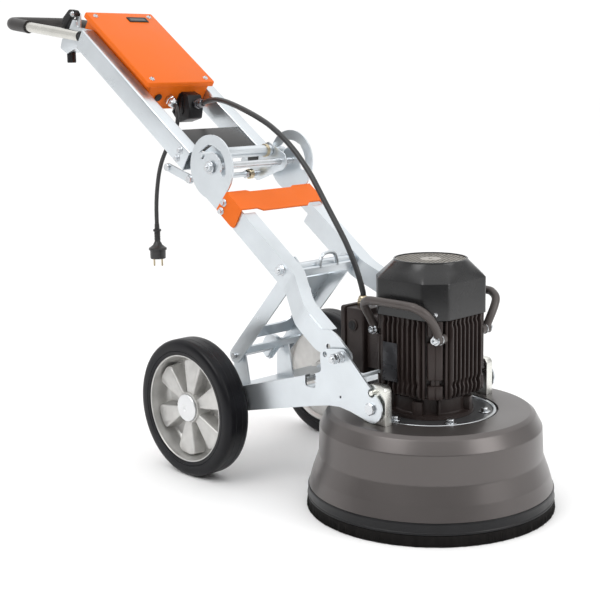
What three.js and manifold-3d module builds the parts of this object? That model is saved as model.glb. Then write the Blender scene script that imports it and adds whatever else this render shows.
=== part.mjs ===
// Planetary concrete floor grinder: a wheeled chassis that carries a tilting grinding head,
// a folding mast with a prop strut, and a folding handle with the control box.
// Millimetres, +X forward, +Y left, +Z up, origin on the floor below the middle of the machine.
import * as THREE from "three";
import { mergeVertices } from "three/addons/utils/BufferGeometryUtils.js";
import Module from "manifold-3d";

const wasm = await Module();
wasm.setup();

// ---- driving dimensions ----
const GAP = 0.3; // clearance between neighbouring pieces
const SKIRT_R = 250; // brush skirt radius, 500 mm shroud diameter
const SHROUD_TOP = 197;
const SHROUD_HOLE_R = 134.5;
const WHEEL_R = 150;
const WHEEL_WIDTH = 60;
const WHEEL_X = -488;
const WHEEL_MID_Y = 209.5;
const AXLE_R = 12;
const SIDE_IN = 171.7; // inner face of the chassis side plates
const SIDE_OUT = 175.7;
const HEAD_PIVOT = [0, 229]; // x, z
const MAST_PIVOT = [-78, 317];
const MAST_SLOPE = 36.3; // degrees below the horizontal, going forward
const MAST_FOLD = 20; // degrees the mast folds backwards
const STRUT_PIVOT = [-497, 238];
const CROSSBAR = [-298, 457];
const CROSSBAR_R = 10;
const TUBE_WIDTH = 35;
const TUBE_OUT = 121; // outer face of the mast tubes and the handle rails
const TUBE_IN = TUBE_OUT - TUBE_WIDTH;
const TUBE_WALL = 3;
const MAST_TUBE_HEIGHT = 48;
const HANDLE_ORIGIN = [-974, 964]; // rear end of the rails' top line
const HANDLE_SLOPE = 35.2;
const RAIL_LENGTH = 477;
const RAIL_HEIGHT = 51;
const FOLD_PIVOT = [-513, 659]; // handle fold axis
const DISC_R = 70; // index plates round the fold axis
const LOCK_ROD_AT = 39.5; // lock rod's distance from the fold axis
const COWL_FACE = 95; // motor axis to a cowl face
const COWL_CORNER = 105.5; // motor axis to a cowl corner face
const COWL_TOP = 497;
const COWL_SHOULDER = 463;
const COWL_BOTTOM = 393;
const GRIP_HALF_WIDTH = 104; // handlebar leg centre lines
const BAR_PIVOT = [-1022, 952.2];
const BAR_SLOPE = 7.6;
const BAR_REACH = 319; // bar pivot to the middle of the cross grip
const BAR_R = 12.5;
const GRIP_R = 15.8;
const BAR_CORNER_R = 45;
const REAR_END = BAR_PIVOT[0] - (BAR_REACH + GRIP_R) * Math.cos(rad(BAR_SLOPE));
const ORIGIN_SHIFT = -(REAR_END + SKIRT_R) / 2; // puts the origin under the middle of the box

function rad(degrees) {
  return (degrees * Math.PI) / 180;
}

// ---- materials ----
function finish(color, roughness, metalness) {
  return new THREE.MeshStandardMaterial({ color, roughness, metalness });
}
const zinc = finish(0xc9d2d6, 0.35, 0.85);
const steel = finish(0xb9bcc0, 0.3, 0.9);
const orange = finish(0xf26a1b, 0.4, 0.1);
const shroudGrey = finish(0x6e6866, 0.4, 0.3);
const motorBrown = finish(0x463e3c, 0.5, 0.3);
const cowlGrey = finish(0x3a3a3c, 0.5, 0.2);
const rubber = finish(0x232427, 0.85, 0);
const bristle = finish(0x1b1817, 0.95, 0);
const blackPlastic = finish(0x26262a, 0.55, 0);
const castAluminium = finish(0xb5b3ae, 0.5, 0.8);
const barGrey = finish(0x55504e, 0.5, 0.3);
const cableBlack = finish(0x2b2b2d, 0.7, 0);
const brass = finish(0xc0a060, 0.35, 0.9);
const red = finish(0xc8281e, 0.4, 0);
const green = finish(0x2d8a4a, 0.4, 0);
const diamond = finish(0x8a7a5a, 0.7, 0.4);

// ---- solids ----
function solid(geometry) {
  const bare = geometry.clone();
  bare.deleteAttribute("normal");
  bare.deleteAttribute("uv");
  const merged = mergeVertices(bare, 1e-3);
  const mesh = new wasm.Mesh({
    numProp: 3,
    vertProperties: merged.attributes.position.array,
    triVerts: new Uint32Array(merged.index.array),
  });
  return new wasm.Manifold(mesh);
}

function geometryOf(body) {
  const mesh = body.getMesh();
  const geometry = new THREE.BufferGeometry();
  const points = new Float32Array((mesh.vertProperties.length / mesh.numProp) * 3);
  for (let i = 0; i < points.length / 3; i += 1) {
    for (let k = 0; k < 3; k += 1) points[3 * i + k] = mesh.vertProperties[i * mesh.numProp + k];
  }
  geometry.setAttribute("position", new THREE.BufferAttribute(points, 3));
  geometry.setIndex(new THREE.BufferAttribute(new Uint32Array(mesh.triVerts), 1));
  const flat = geometry.toNonIndexed();
  flat.computeVertexNormals();
  return flat;
}

function union(...bodies) {
  return bodies.reduce((a, b) => a.add(b));
}

function cut(body, ...tools) {
  return tools.reduce((a, b) => a.subtract(b), body);
}

// Box between two opposite corners.
function block(low, high) {
  const size = high.map((v, k) => v - low[k]);
  const geometry = new THREE.BoxGeometry(...size);
  geometry.translate(...low.map((v, k) => v + size[k] / 2));
  return solid(geometry);
}

// Round bar along an axis, from one coordinate to another; at holds the two other coordinates.
function bar(axis, radius, from, to, at, sides = 12) {
  const geometry = new THREE.CylinderGeometry(radius, radius, Math.abs(to - from), sides);
  const middle = (from + to) / 2;
  if (axis === "x") geometry.rotateZ(-Math.PI / 2).translate(middle, at[0], at[1]);
  if (axis === "y") geometry.translate(at[0], middle, at[1]);
  if (axis === "z") geometry.rotateX(Math.PI / 2).translate(at[0], at[1], middle);
  return solid(geometry);
}

// Tool for a round hole whose flats stay outside the given radius.
function bore(axis, radius, from, to, at, sides = 12) {
  return bar(axis, radius / Math.cos(Math.PI / sides), from, to, at, sides);
}

// Outline with rounded corners: points are [a, b] or [a, b, corner radius].
function outline(points, path = new THREE.Shape()) {
  const n = points.length;
  const toward = (p, q, r) => {
    const length = Math.hypot(q[0] - p[0], q[1] - p[1]);
    const t = Math.min(r / length, 0.49);
    return [p[0] + (q[0] - p[0]) * t, p[1] + (q[1] - p[1]) * t];
  };
  points.forEach((p, i) => {
    const r = p[2] ?? 0;
    const start = toward(p, points[(i + n - 1) % n], r);
    const end = toward(p, points[(i + 1) % n], r);
    if (i === 0) path.moveTo(...start);
    else path.lineTo(...start);
    if (r > 0) path.quadraticCurveTo(p[0], p[1], ...end);
  });
  path.closePath();
  return path;
}

// Flat piece in the X-Z plane, between two Y values.
function plateXZ(points, y0, y1, curveSegments = 2) {
  const depth = Math.abs(y1 - y0);
  const geometry = new THREE.ExtrudeGeometry(outline(points), {
    depth,
    bevelEnabled: false,
    curveSegments,
  });
  geometry.rotateX(Math.PI / 2).translate(0, Math.max(y0, y1), 0);
  return solid(geometry);
}

// Flat piece in the X-Y plane, between two Z values.
function plateXY(points, z0, z1, curveSegments = 3) {
  const geometry = new THREE.ExtrudeGeometry(outline(points), {
    depth: z1 - z0,
    bevelEnabled: false,
    curveSegments,
  });
  geometry.translate(0, 0, z0);
  return solid(geometry);
}

// Body of revolution about Z; the profile's [r, z] points run anticlockwise and close.
function turned(profile, sides) {
  const points = profile.map(([r, z]) => new THREE.Vector2(r, z));
  points.push(points[0].clone());
  const geometry = new THREE.LatheGeometry(points, sides);
  geometry.rotateX(Math.PI / 2);
  return solid(geometry);
}

// Tube or rod along a smooth curve through points.
function swept(points, radius, sides, steps) {
  const section = new THREE.Shape();
  section.absarc(0, 0, radius, 0, 2 * Math.PI);
  const geometry = new THREE.ExtrudeGeometry(section, {
    extrudePath: new THREE.CatmullRomCurve3(points.map((p) => new THREE.Vector3(...p))),
    curveSegments: sides / 2,
    steps,
    bevelEnabled: false,
  });
  return solid(geometry);
}

// Arc points round a centre, for round stretches of an outline.
function arc(cx, cy, r, fromDegrees, toDegrees, count) {
  return Array.from({ length: count + 1 }, (_, i) => {
    const a = rad(fromDegrees + ((toDegrees - fromDegrees) * i) / count);
    return [cx + r * Math.cos(a), cy + r * Math.sin(a)];
  });
}

// ---- scene graph ----
const machine = new THREE.Group();
machine.position.x = ORIGIN_SHIFT;
const mastGroup = new THREE.Group();
mastGroup.position.set(MAST_PIVOT[0], 0, MAST_PIVOT[1]);
mastGroup.rotation.y = rad(MAST_SLOPE);
const handleGroup = new THREE.Group();
handleGroup.position.set(HANDLE_ORIGIN[0], 0, HANDLE_ORIGIN[1]);
handleGroup.rotation.y = rad(HANDLE_SLOPE);
const strutGroup = new THREE.Group();
const strutSlope = Math.atan2(CROSSBAR[1] - STRUT_PIVOT[1], CROSSBAR[0] - STRUT_PIVOT[0]);
strutGroup.position.set(STRUT_PIVOT[0], 0, STRUT_PIVOT[1]);
strutGroup.rotation.y = -strutSlope;
const barGroup = new THREE.Group();
barGroup.position.set(BAR_PIVOT[0], 0, BAR_PIVOT[1]);
barGroup.rotation.y = rad(BAR_SLOPE);
machine.add(mastGroup, handleGroup, strutGroup, barGroup);

function piece(name, body, material, group = machine) {
  const mesh = new THREE.Mesh(geometryOf(body), material);
  mesh.name = name;
  group.add(mesh);
  return mesh;
}

// A point of the machine's frame in a tilted group's own [x, z].
function inGroup([x, z], [ox, oz], degrees) {
  const c = Math.cos(rad(degrees));
  const s = Math.sin(rad(degrees));
  return [(x - ox) * c - (z - oz) * s, (x - ox) * s + (z - oz) * c];
}
const foldInMast = inGroup(FOLD_PIVOT, MAST_PIVOT, MAST_SLOPE);
const foldInHandle = inGroup(FOLD_PIVOT, HANDLE_ORIGIN, HANDLE_SLOPE);
const crossbarInMast = inGroup(CROSSBAR, MAST_PIVOT, MAST_SLOPE);
const sides = { right: -1, left: 1 };

// ---- wheels ----
const TYRE_BORE = 117;
function tyre() {
  const w = WHEEL_WIDTH / 2;
  return turned(
    [
      [TYRE_BORE, 2 - w], [126, -w], [141, -w], [WHEEL_R, 8 - w],
      [WHEEL_R, w - 8], [141, w], [126, w], [TYRE_BORE, w - 2],
    ],
    40,
  );
}

const SPOKES = 6;
const SPOKE_ANGLE = 22; // degrees from +X to +Z of one spoke
function rim(side) {
  const barrel = turned(
    [
      [AXLE_R + GAP, -28], [28, -28], [28, -8], [106, -8], [109, -26], [TYRE_BORE - 0.8, -26],
      [TYRE_BORE - 0.8, 26], [109, 26], [106, -3], [28, -3], [28, 20], [24, 22], [AXLE_R + GAP, 22],
    ],
    28,
  );
  const wedge = [[20, -8], [50, -11], [107, -25, 6], [107, 25, 6], [50, 11], [20, 8]];
  let body = barrel;
  for (let i = 0; i < SPOKES; i += 1) {
    const spoke = plateXY(wedge, -4, 13, 2);
    const turn = SPOKE_ANGLE * side + (i * 360) / SPOKES;
    body = body.add(spoke.rotate([0, 0, turn]));
  }
  return body;
}

for (const [name, side] of Object.entries(sides)) {
  const wheel = new THREE.Group();
  wheel.position.set(WHEEL_X, side * WHEEL_MID_Y, WHEEL_R);
  wheel.rotation.x = (-side * Math.PI) / 2; // the group's +Z looks outwards
  machine.add(wheel);
  piece(`tyre_${name}`, tyre(), rubber, wheel);
  piece(`rim_${name}`, rim(side), castAluminium, wheel);
}

// ---- chassis ----
const RAIL_TOP = [[-354, 213], [-166, 268]];
const railSlope = (RAIL_TOP[1][1] - RAIL_TOP[0][1]) / (RAIL_TOP[1][0] - RAIL_TOP[0][0]);
const railTopZ = (x) => RAIL_TOP[0][1] + (x - RAIL_TOP[0][0]) * railSlope;
const MAST_HOLE = [-40.5, -12.4]; // fold-lock hole in the mast's own frame
const foldHoleAngle = Math.atan2(MAST_HOLE[1], MAST_HOLE[0]) - rad(MAST_SLOPE) + rad(MAST_FOLD);
const foldHoleR = Math.hypot(...MAST_HOLE);
const FOLD_HOLE = [
  MAST_PIVOT[0] + foldHoleR * Math.cos(foldHoleAngle),
  MAST_PIVOT[1] + foldHoleR * Math.sin(foldHoleAngle),
];
const STOP_PIN = [2, 260];

function sidePlate(side) {
  const y0 = side * SIDE_IN;
  const y1 = side * SIDE_OUT;
  const shape = [
    ...arc(WHEEL_X, WHEEL_R, 24, 190, 280, 4),
    [-343, 161], [-138, 210, 20], [-82, 221, 30], [-19, 206, 12],
    ...arc(HEAD_PIVOT[0], HEAD_PIVOT[1], 28, -90, 45, 6),
    [-65, 329, 6], [-76, 334, 4], [-126, 327, 8], [-134, 316, 6], [-131, 280, 6],
    [-150, railTopZ(-150), 3], [WHEEL_X, railTopZ(WHEEL_X), 6],
  ];
  const rearZ = railTopZ(-470);
  const frontZ = railTopZ(-186);
  const flange = [[-470, rearZ], [-470, rearZ - 4], [-186, frontZ - 4], [-186, frontZ]];
  const folded = plateXZ(flange, side * (SIDE_IN - 19), y1);
  const hole = (x, z, r) => bore("y", r, side * (SIDE_IN - 2), side * (SIDE_OUT + 2), [x, z]);
  const reliefShape = [[-176, 243, 6], [-148, 243, 6], [-146, 274, 6], [-176, 274, 6]];
  const relief = plateXZ(reliefShape, y0 - side, y1 + side);
  return cut(
    union(plateXZ(shape, y0, y1), folded),
    relief,
    hole(WHEEL_X, WHEEL_R, AXLE_R + GAP),
    hole(...MAST_PIVOT, 6.4),
    hole(...FOLD_HOLE, 5.5),
    hole(-79, 238, 2.6),
    hole(...HEAD_PIVOT, 8.4),
    hole(...STOP_PIN, 8.5),
  );
}

function mastBolt(side) {
  const run = (r, a, b, n) => bar("y", r, side * a, side * b, MAST_PIVOT, n);
  const shank = run(6, 152, 204, 16);
  return union(shank, run(10, SIDE_OUT + GAP, 185, 6), run(9.5, 191, 201, 6), run(10, 153, 161.5, 6));
}

function headPin(side) {
  const run = (r, a, b) => bar("y", r, side * a, side * b, HEAD_PIVOT);
  return union(run(8, 141, 180), run(12, SIDE_OUT + GAP, 181.5));
}

for (const [name, side] of Object.entries(sides)) {
  piece(`side_plate_${name}`, sidePlate(side), zinc);
  piece(`mast_bolt_${name}`, mastBolt(side), steel);
  piece(`head_pin_${name}`, headPin(side), steel);
}

const AXLE_END = WHEEL_MID_Y + 20;
piece("axle", bar("y", AXLE_R, -AXLE_END, AXLE_END, [WHEEL_X, WHEEL_R], 24), steel);

const STRUT_PIN_R = 6;
function rearDeck() {
  const wide = SIDE_IN - GAP;
  const deck = block([-512, -wide, 163], [-445, wide, 167]);
  const ear = [[-517, 165], [-462, 165], [-477, 243], ...arc(...STRUT_PIVOT, 18, 20, 160, 6)];
  const ears = [-1, 1].map((s) => plateXZ(ear, s * 64, s * 68));
  return cut(union(deck, ...ears), bore("y", STRUT_PIN_R + GAP, -90, 90, STRUT_PIVOT));
}
piece("rear_deck", rearDeck(), zinc);
piece("strut_pin", bar("y", STRUT_PIN_R, -86, 86, STRUT_PIVOT), steel);
// ---- strut: a channel that props the mast's crossbar ----
const strutLength = Math.hypot(CROSSBAR[0] - STRUT_PIVOT[0], CROSSBAR[1] - STRUT_PIVOT[1]);
const FLANGE_HALF = 17.5;
const STRUT_TIP = strutLength + 14;
const GRAB_AT = strutLength + 10; // foot of the welded grab loop
const GRAB_ROOT = -15;

// The crossbar's centre in the strut's frame while the mast folds and the strut swings with it.
function crossbarPath(foldDegrees) {
  const fold = rad(foldDegrees);
  const [dx, dz] = [CROSSBAR[0] - MAST_PIVOT[0], CROSSBAR[1] - MAST_PIVOT[1]];
  const x = MAST_PIVOT[0] + dx * Math.cos(fold) - dz * Math.sin(fold) - STRUT_PIVOT[0];
  const z = MAST_PIVOT[1] + dx * Math.sin(fold) + dz * Math.cos(fold) - STRUT_PIVOT[1];
  const swing = strutSlope - fold;
  return [x * Math.cos(swing) + z * Math.sin(swing), -x * Math.sin(swing) + z * Math.cos(swing)];
}

function strut() {
  const h = FLANGE_HALF;
  const side = [
    ...arc(0, 0, h, 90, 270, 8),
    [strutLength + 4, -h, 4], [STRUT_TIP, -h + 6, 8], [STRUT_TIP + 2, 20, 5], [strutLength - 22, 22, 4],
    [strutLength - 38, h],
  ];
  const flanges = [-1, 1].map((s) => plateXZ(side, s * 76, s * 80));
  const web = block([34, -78, h - 4], [strutLength - 62, 78, h]);
  const windowLow = [74, strutLength - 100];
  const window = plateXY(
    [[windowLow[0], -52, 26], [windowLow[1], -52, 26], [windowLow[1], 52, 26], [windowLow[0], 52, 26]],
    0, 2 * h,
  );
  const foot = block([26, -78, -h], [52, 78, 4 - h]);
  const latch = block([strutLength - 12, -78, -h], [strutLength + 13, 78, -13.2]);
  const grab = swept(
    [[-26, -2], [-25, 9], [-17, 25], [17, 25], [25, 9], [26, -2]].map(([y, up]) => [
      GRAB_AT + up * Math.sin(strutSlope), y, GRAB_ROOT + up * Math.cos(strutSlope),
    ]),
    4, 8, 12,
  );
  let body = union(...flanges, cut(web, window), foot, latch, grab);
  for (let fold = 0; fold <= MAST_FOLD; fold += 2) {
    body = body.subtract(bore("y", CROSSBAR_R + 2.6, -90, 90, crossbarPath(fold)));
  }
  return cut(body, bore("y", STRUT_PIN_R + GAP, -90, 90, [0, 0]));
}
piece("strut", strut(), zinc, strutGroup);


// ---- mast ----
const FLARE = 43; // how far the tubes spread outwards at their lower ends
const PLATE_END = -417.5; // where the index plates' tails meet the tubes
function mastTube(side) {
  const strip = (out, inn) => [
    [PLATE_END, side * out], [-226, side * out, 14],
    [-138, side * (out + FLARE), 14], [-68, side * (out + FLARE)],
    [-68, side * (inn + FLARE)], [-146, side * (inn + FLARE), 14],
    [-234, side * inn, 14], [PLATE_END, side * inn],
  ];
  const inner = (out, inn) => strip(out, inn).map(([x, ...rest]) => {
    const past = x === PLATE_END ? -10 : x === -68 ? 10 : 0;
    return [x + past, ...rest];
  });
  const outer = plateXY(strip(TUBE_OUT, TUBE_IN), 2 - MAST_TUBE_HEIGHT, 2);
  const cavity = inner(TUBE_OUT - TUBE_WALL, TUBE_IN + TUBE_WALL);
  const inside = plateXY(cavity, 2 - MAST_TUBE_HEIGHT + TUBE_WALL, 2 - TUBE_WALL);
  const ear = plateXZ(
    [
      [-118, -43], [-62, -43, 8], [-9, -19.5], ...arc(0, 0, 21, -110, 60, 7),
      [-22, 21, 6], [-56, 18, 6], [-76, 1], [-118, 1],
    ],
    side * 163, side * 168,
  );
  const lower = (r, x, z) => bore("y", r, side * 150, side * 172, [x, z]);
  const boltHole = bore("y", 6.3, side * (TUBE_IN - 2), side * (TUBE_OUT + 2), crossbarInMast);
  return cut(union(cut(outer, inside), ear), lower(6.4, 0, 0), lower(5.5, ...MAST_HOLE), boltHole);
}

// Plate round the fold axis, with a slot for the lock rod and four resting notches.
const NOTCHES = [0, 40, 90, 155]; // degrees of handle fold
const rodAngle = 140 + MAST_SLOPE; // lock rod's direction from the fold axis, in the mast's frame
function indexPlate(side) {
  const [px, pz] = foldInMast;
  const tailEnd = PLATE_END - GAP;
  const tail = [[px - 20, pz - 66], [tailEnd, -46], [tailEnd, 2], [px + 69, 2], [px + 40, pz + 40]];
  const y0 = side * (TUBE_OUT - 4);
  const y1 = side * TUBE_OUT;
  const slot = [
    ...arc(px, pz, 47.5, rodAngle + 1, rodAngle - NOTCHES[3] - 1, 12),
    ...arc(px, pz, 31.5, rodAngle - NOTCHES[3] - 1, rodAngle + 1, 10),
  ];
  const notches = NOTCHES.map((a) => {
    const at = arc(px, pz, LOCK_ROD_AT, rodAngle - a, rodAngle - a, 1)[0];
    return bore("y", 9.2, y0 - side, y1 + side, at);
  });
  return cut(
    union(plateXZ(tail, y0, y1), bar("y", DISC_R, y0, y1, foldInMast, 36)),
    plateXZ(slot, y0 - side, y1 + side),
    ...notches,
    bore("y", 8.4, y0 - side, y1 + side, foldInMast),
  );
}

for (const [name, side] of Object.entries(sides)) {
  piece(`mast_tube_${name}`, mastTube(side), zinc, mastGroup);
  piece(`index_plate_${name}`, indexPlate(side), zinc, mastGroup);
}

const crossbar = union(
  bar("y", CROSSBAR_R, GAP - TUBE_IN, TUBE_IN - GAP, crossbarInMast, 16),
  bar("y", 6, -TUBE_OUT - 5, TUBE_OUT + 5, crossbarInMast),
  ...[-1, 1].map((s) => bar("y", 10, s * (TUBE_OUT + GAP), s * (TUBE_OUT + 8), crossbarInMast, 6)),
);
piece("crossbar", crossbar, zinc, mastGroup);

const PANEL_BACK = -481;
function crossPlate() {
  const top = [
    [PANEL_BACK, -124.6], [PANEL_BACK, -70], [PANEL_BACK + 5, -60], [PANEL_BACK + 5, 60], [PANEL_BACK, 70],
    [PANEL_BACK, 124.6], [-423, 124.6, 6], [-423, 78], [-414, 66],
    [-414, -66], [-423, -78], [-423, -124.6, 6],
  ];
  const flange = (s) => plateXZ(
    [[PANEL_BACK, 9], [-486, -44, 4], [-418, -44, 12], [-423, 9]],
    s * (TUBE_OUT + GAP), s * 124.6,
  );
  return union(plateXY(top, 6.2, 9.2), flange(-1), flange(1));
}
piece("cross_plate", crossPlate(), orange, mastGroup);

const pivotRod = union(
  bar("y", 8, -124, 124, foldInMast),
  ...[-1, 1].map((s) => bar("y", 13, s * (TUBE_OUT + GAP), s * (TUBE_OUT + 4.5), foldInMast, 16)),
);
piece("fold_pivot_rod", pivotRod, steel, mastGroup);

// ---- handle ----
function handleRail(side) {
  const [a, b] = [side * TUBE_IN, side * TUBE_OUT].sort((m, n) => m - n);
  const w = TUBE_WALL;
  return cut(
    block([0, a, -RAIL_HEIGHT], [RAIL_LENGTH, b, 0]),
    block([-5, a + w, w - RAIL_HEIGHT], [RAIL_LENGTH + 5, b - w, -w]),
  );
}
piece("handle_rail_right", handleRail(-1), zinc, handleGroup);
piece("handle_rail_left", handleRail(1), zinc, handleGroup);

const rodDirection = 180 - (140 - (180 - HANDLE_SLOPE)) - 180;
const LOCK_ROD = [
  foldInHandle[0] - LOCK_ROD_AT * Math.cos(rad(rodDirection)),
  foldInHandle[1] + LOCK_ROD_AT * Math.sin(rad(rodDirection)),
];
const LEVER_PIVOT = [505, -54];
function cradle() {
  const cheek = [
    [392, -4], [392, -46, 6], [470, -48], ...arc(...LEVER_PIVOT, 14, 225, 330, 4),
    ...arc(...foldInHandle, 19, -45, 80, 6), [LOCK_ROD[0] + 6, LOCK_ROD[1] + 13, 6],
    [LOCK_ROD[0] - 14, LOCK_ROD[1] + 8, 8], [470, -4],
  ];
  const cheeks = [-1, 1].map((s) => plateXZ(cheek, s * 80.5, s * 84.5));
  const hole = (r, at) => bore("y", r, -90, 90, at);
  return cut(
    union(...cheeks, block([392, -84, -8], [468, 84, -4])),
    hole(8.4, foldInHandle), hole(6.9, LOCK_ROD), hole(6.4, LEVER_PIVOT),
  );
}
piece("cradle", cradle(), cowlGrey, handleGroup);

const lockRod = union(bar("y", 12.5, -79.8, 79.8, LOCK_ROD, 16), bar("y", 6.5, -124, 124, LOCK_ROD));
piece("lock_rod", lockRod, zinc, handleGroup);

const LEVER_END = [428, -80];
function releaseLever() {
  const along = (Math.atan2(LEVER_END[1] - LEVER_PIVOT[1], LEVER_END[0] - LEVER_PIVOT[0]) * 180) / Math.PI;
  const arm = [
    ...arc(...LEVER_PIVOT, 10, along + 110, along + 250, 6),
    ...arc(...LEVER_END, 9, along - 95, along + 95, 6),
  ];
  const arms = [-1, 1].map((s) => plateXZ(arm, s * 112, s * 116));
  return union(...arms, bar("y", 6, -116, 116, LEVER_PIVOT));
}
piece("release_lever", releaseLever(), zinc, handleGroup);

// Control box: a tub between the rails and a lid that laps over them.
const BOX_REAR = -36;
const BOX_FRONT = 252;
const LID_TOP = 26;
const LID_BOTTOM = 13;
// Operator controls, in holes through the tub's rear wall.
const CONTROL_Z = -6;
const controls = [
  { name: "emergency_stop", y: 7, r: 17, stand: 27, neck: 9, material: red },
  { name: "start_button", y: -30, r: 9, stand: 14, neck: 6, material: green },
  { name: "speed_knob", y: 46, r: 13, stand: 20, neck: 5, material: blackPlastic },
];
const tub = cut(
  block([BOX_REAR, -84.5, -50], [BOX_FRONT, 84.5, LID_BOTTOM - GAP]),
  block([BOX_REAR + 3, -81.5, -47], [BOX_FRONT - 3, 81.5, LID_BOTTOM]),
  ...controls.map(({ y, neck }) => bore("x", neck + 0.6, BOX_REAR - 1, BOX_REAR + 4, [y, CONTROL_Z])),
);
piece("control_box", tub, orange, handleGroup);
const lid = cut(
  block([BOX_REAR - 3, -99, LID_BOTTOM], [BOX_FRONT + 3, 99, LID_TOP]),
  block([BOX_REAR, -96, LID_BOTTOM - 1], [BOX_FRONT, 96, LID_TOP - 3]),
  block([-18, 8, LID_TOP - 5], [2, 66, LID_TOP + 2]),
);
piece("box_lid", lid, orange, handleGroup);
const hourMeter = cut(
  block([-17.7, 8.3, LID_TOP - 14], [1.7, 65.7, LID_TOP + 2]),
  block([-13, 13, LID_TOP + 0.5], [-3, 61, LID_TOP + 4]),
);
piece("hour_meter", hourMeter, blackPlastic, handleGroup);

const POWER_GLAND = [-18, -22]; // y, z on the box's front face
const powerGland = union(
  bar("x", 13, BOX_FRONT + GAP, BOX_FRONT + 8, POWER_GLAND, 6),
  bar("x", 10.5, BOX_FRONT + 6, BOX_FRONT + 24, POWER_GLAND),
);
piece("power_gland", powerGland, steel, handleGroup);

// Plug hood on the front face; its cable gland looks forward and slightly up.
const HOOD_EXIT = [290, -12.5];
const GLAND_RISE = HANDLE_SLOPE + 8;
function motorConnector() {
  const hood = plateXZ(
    [
      [BOX_FRONT + GAP, -2], [BOX_FRONT + GAP, -64], [BOX_FRONT + 30, -70, 6], [BOX_FRONT + 56, -40, 6],
      [BOX_FRONT + 46, -16, 3], [BOX_FRONT + 24, 4, 4],
    ],
    8, 52,
  );
  const gland = union(bar("x", 11, -8, 14, [0, 0], 6), bar("x", 9, 12, 32, [0, 0]));
  return union(hood, gland.rotate([0, -GLAND_RISE, 0]).translate([HOOD_EXIT[0], 30, HOOD_EXIT[1]]));
}
piece("motor_connector", motorConnector(), blackPlastic, handleGroup);

for (const { name, y, r, stand, neck, material } of controls) {
  const face = BOX_REAR - stand;
  const at = [y, CONTROL_Z];
  const stem = bar("x", neck, face + 4, BOX_REAR + 8, at);
  piece(name, union(stem, bar("x", r, face, face + 9, at, 24)), material, handleGroup);
}

// ---- handlebar, its bracket and clamp ----
const CHEEK = [86, 90]; // side cheeks of the bracket, behind the rails' ends
const LEVER_PIN = [-1062, 1006];
const LEVER_Y = [-85.5, -55.5];
function handleBracket() {
  const cheek = [
    [-974.6, 964], [-1003.8, 922.5], [-1043, 926, 8], [-1088, 911, 4], [-1117, 925, 4], [-1108, 946, 4],
    [-1074, 1014, 8], [-1050, 1014, 8], [-1044, 972, 8],
  ];
  const farCheek = [...cheek.slice(0, 6), [-1096, 968, 6], [-1044, 972, 8]];
  const channel = [[-1114, 926], [-1088, 914], [-1052, 925], [-1062, 948], [-1106, 944]];
  const hollow = [[-1109, 929], [-1088, 918], [-1052, 929], [-1040, 940], [-1060, 944], [-1100, 940]];
  const ear = [[-1076, 940], [-1056, 940], [-1050, 1012, 6], [-1074, 1012, 6]];
  return union(
    plateXZ(cheek, -CHEEK[1], -CHEEK[0]),
    plateXZ(farCheek, CHEEK[0], CHEEK[1]),
    cut(plateXZ(channel, -CHEEK[0] - 1, CHEEK[0] + 1), plateXZ(hollow, -CHEEK[0], CHEEK[0])),
    plateXZ(ear, LEVER_Y[1] + 0.5, LEVER_Y[1] + 3.5),
    bar("y", 3, -CHEEK[0] - 1, LEVER_Y[1] + 2, LEVER_PIN),
  );
}
const barHoles = bore("y", 5.4, -CHEEK[1] - 1, CHEEK[1] + 1, BAR_PIVOT);
piece("handle_bracket", cut(handleBracket(), barHoles), zinc);

function clampLever() {
  const shape = [
    [-1053, 1001, 3], [-1075, 1000, 3], [-1097, 978, 3], [-1114, 950, 3], [-1126, 954, 4],
    [-1108, 1000, 10], [-1076, 1020, 8], [-1053, 1015, 5],
  ];
  return cut(plateXZ(shape, ...LEVER_Y), bore("y", 3.4, LEVER_Y[0] - 1, LEVER_Y[1] + 1, LEVER_PIN));
}
piece("clamp_lever", clampLever(), blackPlastic);

const BAR_STUB = 14; // how far a leg reaches past its pivot
const GRIP_FROM = 212; // bar pivot to the front end of the grip
function barCurve(from, cornerR) {
  const at = (x, y) => new THREE.Vector3(x, y, 0);
  const w = GRIP_HALF_WIDTH;
  const back = -BAR_REACH;
  const soft = cornerR * 0.15;
  const path = new THREE.CurvePath();
  path.add(new THREE.LineCurve3(at(from, -w), at(back + cornerR, -w)));
  const firstBend = [at(back + cornerR, -w), at(back + soft, soft - w), at(back, cornerR - w)];
  path.add(new THREE.QuadraticBezierCurve3(...firstBend));
  path.add(new THREE.LineCurve3(at(back, cornerR - w), at(back, w - cornerR)));
  const secondBend = [at(back, w - cornerR), at(back + soft, w - soft), at(back + cornerR, w)];
  path.add(new THREE.QuadraticBezierCurve3(...secondBend));
  path.add(new THREE.LineCurve3(at(back + cornerR, w), at(from, w)));
  return path;
}
// A curve read at chosen fractions of its length only: corners get several, straights their ends.
class StationedCurve extends THREE.Curve {
  constructor(path, cornerSteps) {
    super();
    this.path = path;
    const lengths = path.getCurveLengths();
    const total = lengths.at(-1);
    this.stations = [0];
    path.curves.forEach((curve, i) => {
      const from = i === 0 ? 0 : lengths[i - 1];
      const count = curve instanceof THREE.LineCurve3 ? 1 : cornerSteps;
      for (let k = 1; k <= count; k += 1) {
        this.stations.push((from + ((lengths[i] - from) * k) / count) / total);
      }
    });
  }
  station(u) {
    return this.stations[Math.round(u * (this.stations.length - 1))];
  }
  getPointAt(u, target) {
    return this.path.getPointAt(this.station(u), target);
  }
  getTangentAt(u, target) {
    return this.path.getTangentAt(this.station(u), target);
  }
}
function bentBar(from, radius, sides) {
  const section = new THREE.Shape();
  section.absarc(0, 0, radius, 0, 2 * Math.PI);
  const extrudePath = new StationedCurve(barCurve(from, BAR_CORNER_R), 5);
  const steps = extrudePath.stations.length - 1;
  const options = { extrudePath, curveSegments: sides / 2, steps, bevelEnabled: false };
  return solid(new THREE.ExtrudeGeometry(section, options));
}
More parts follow.
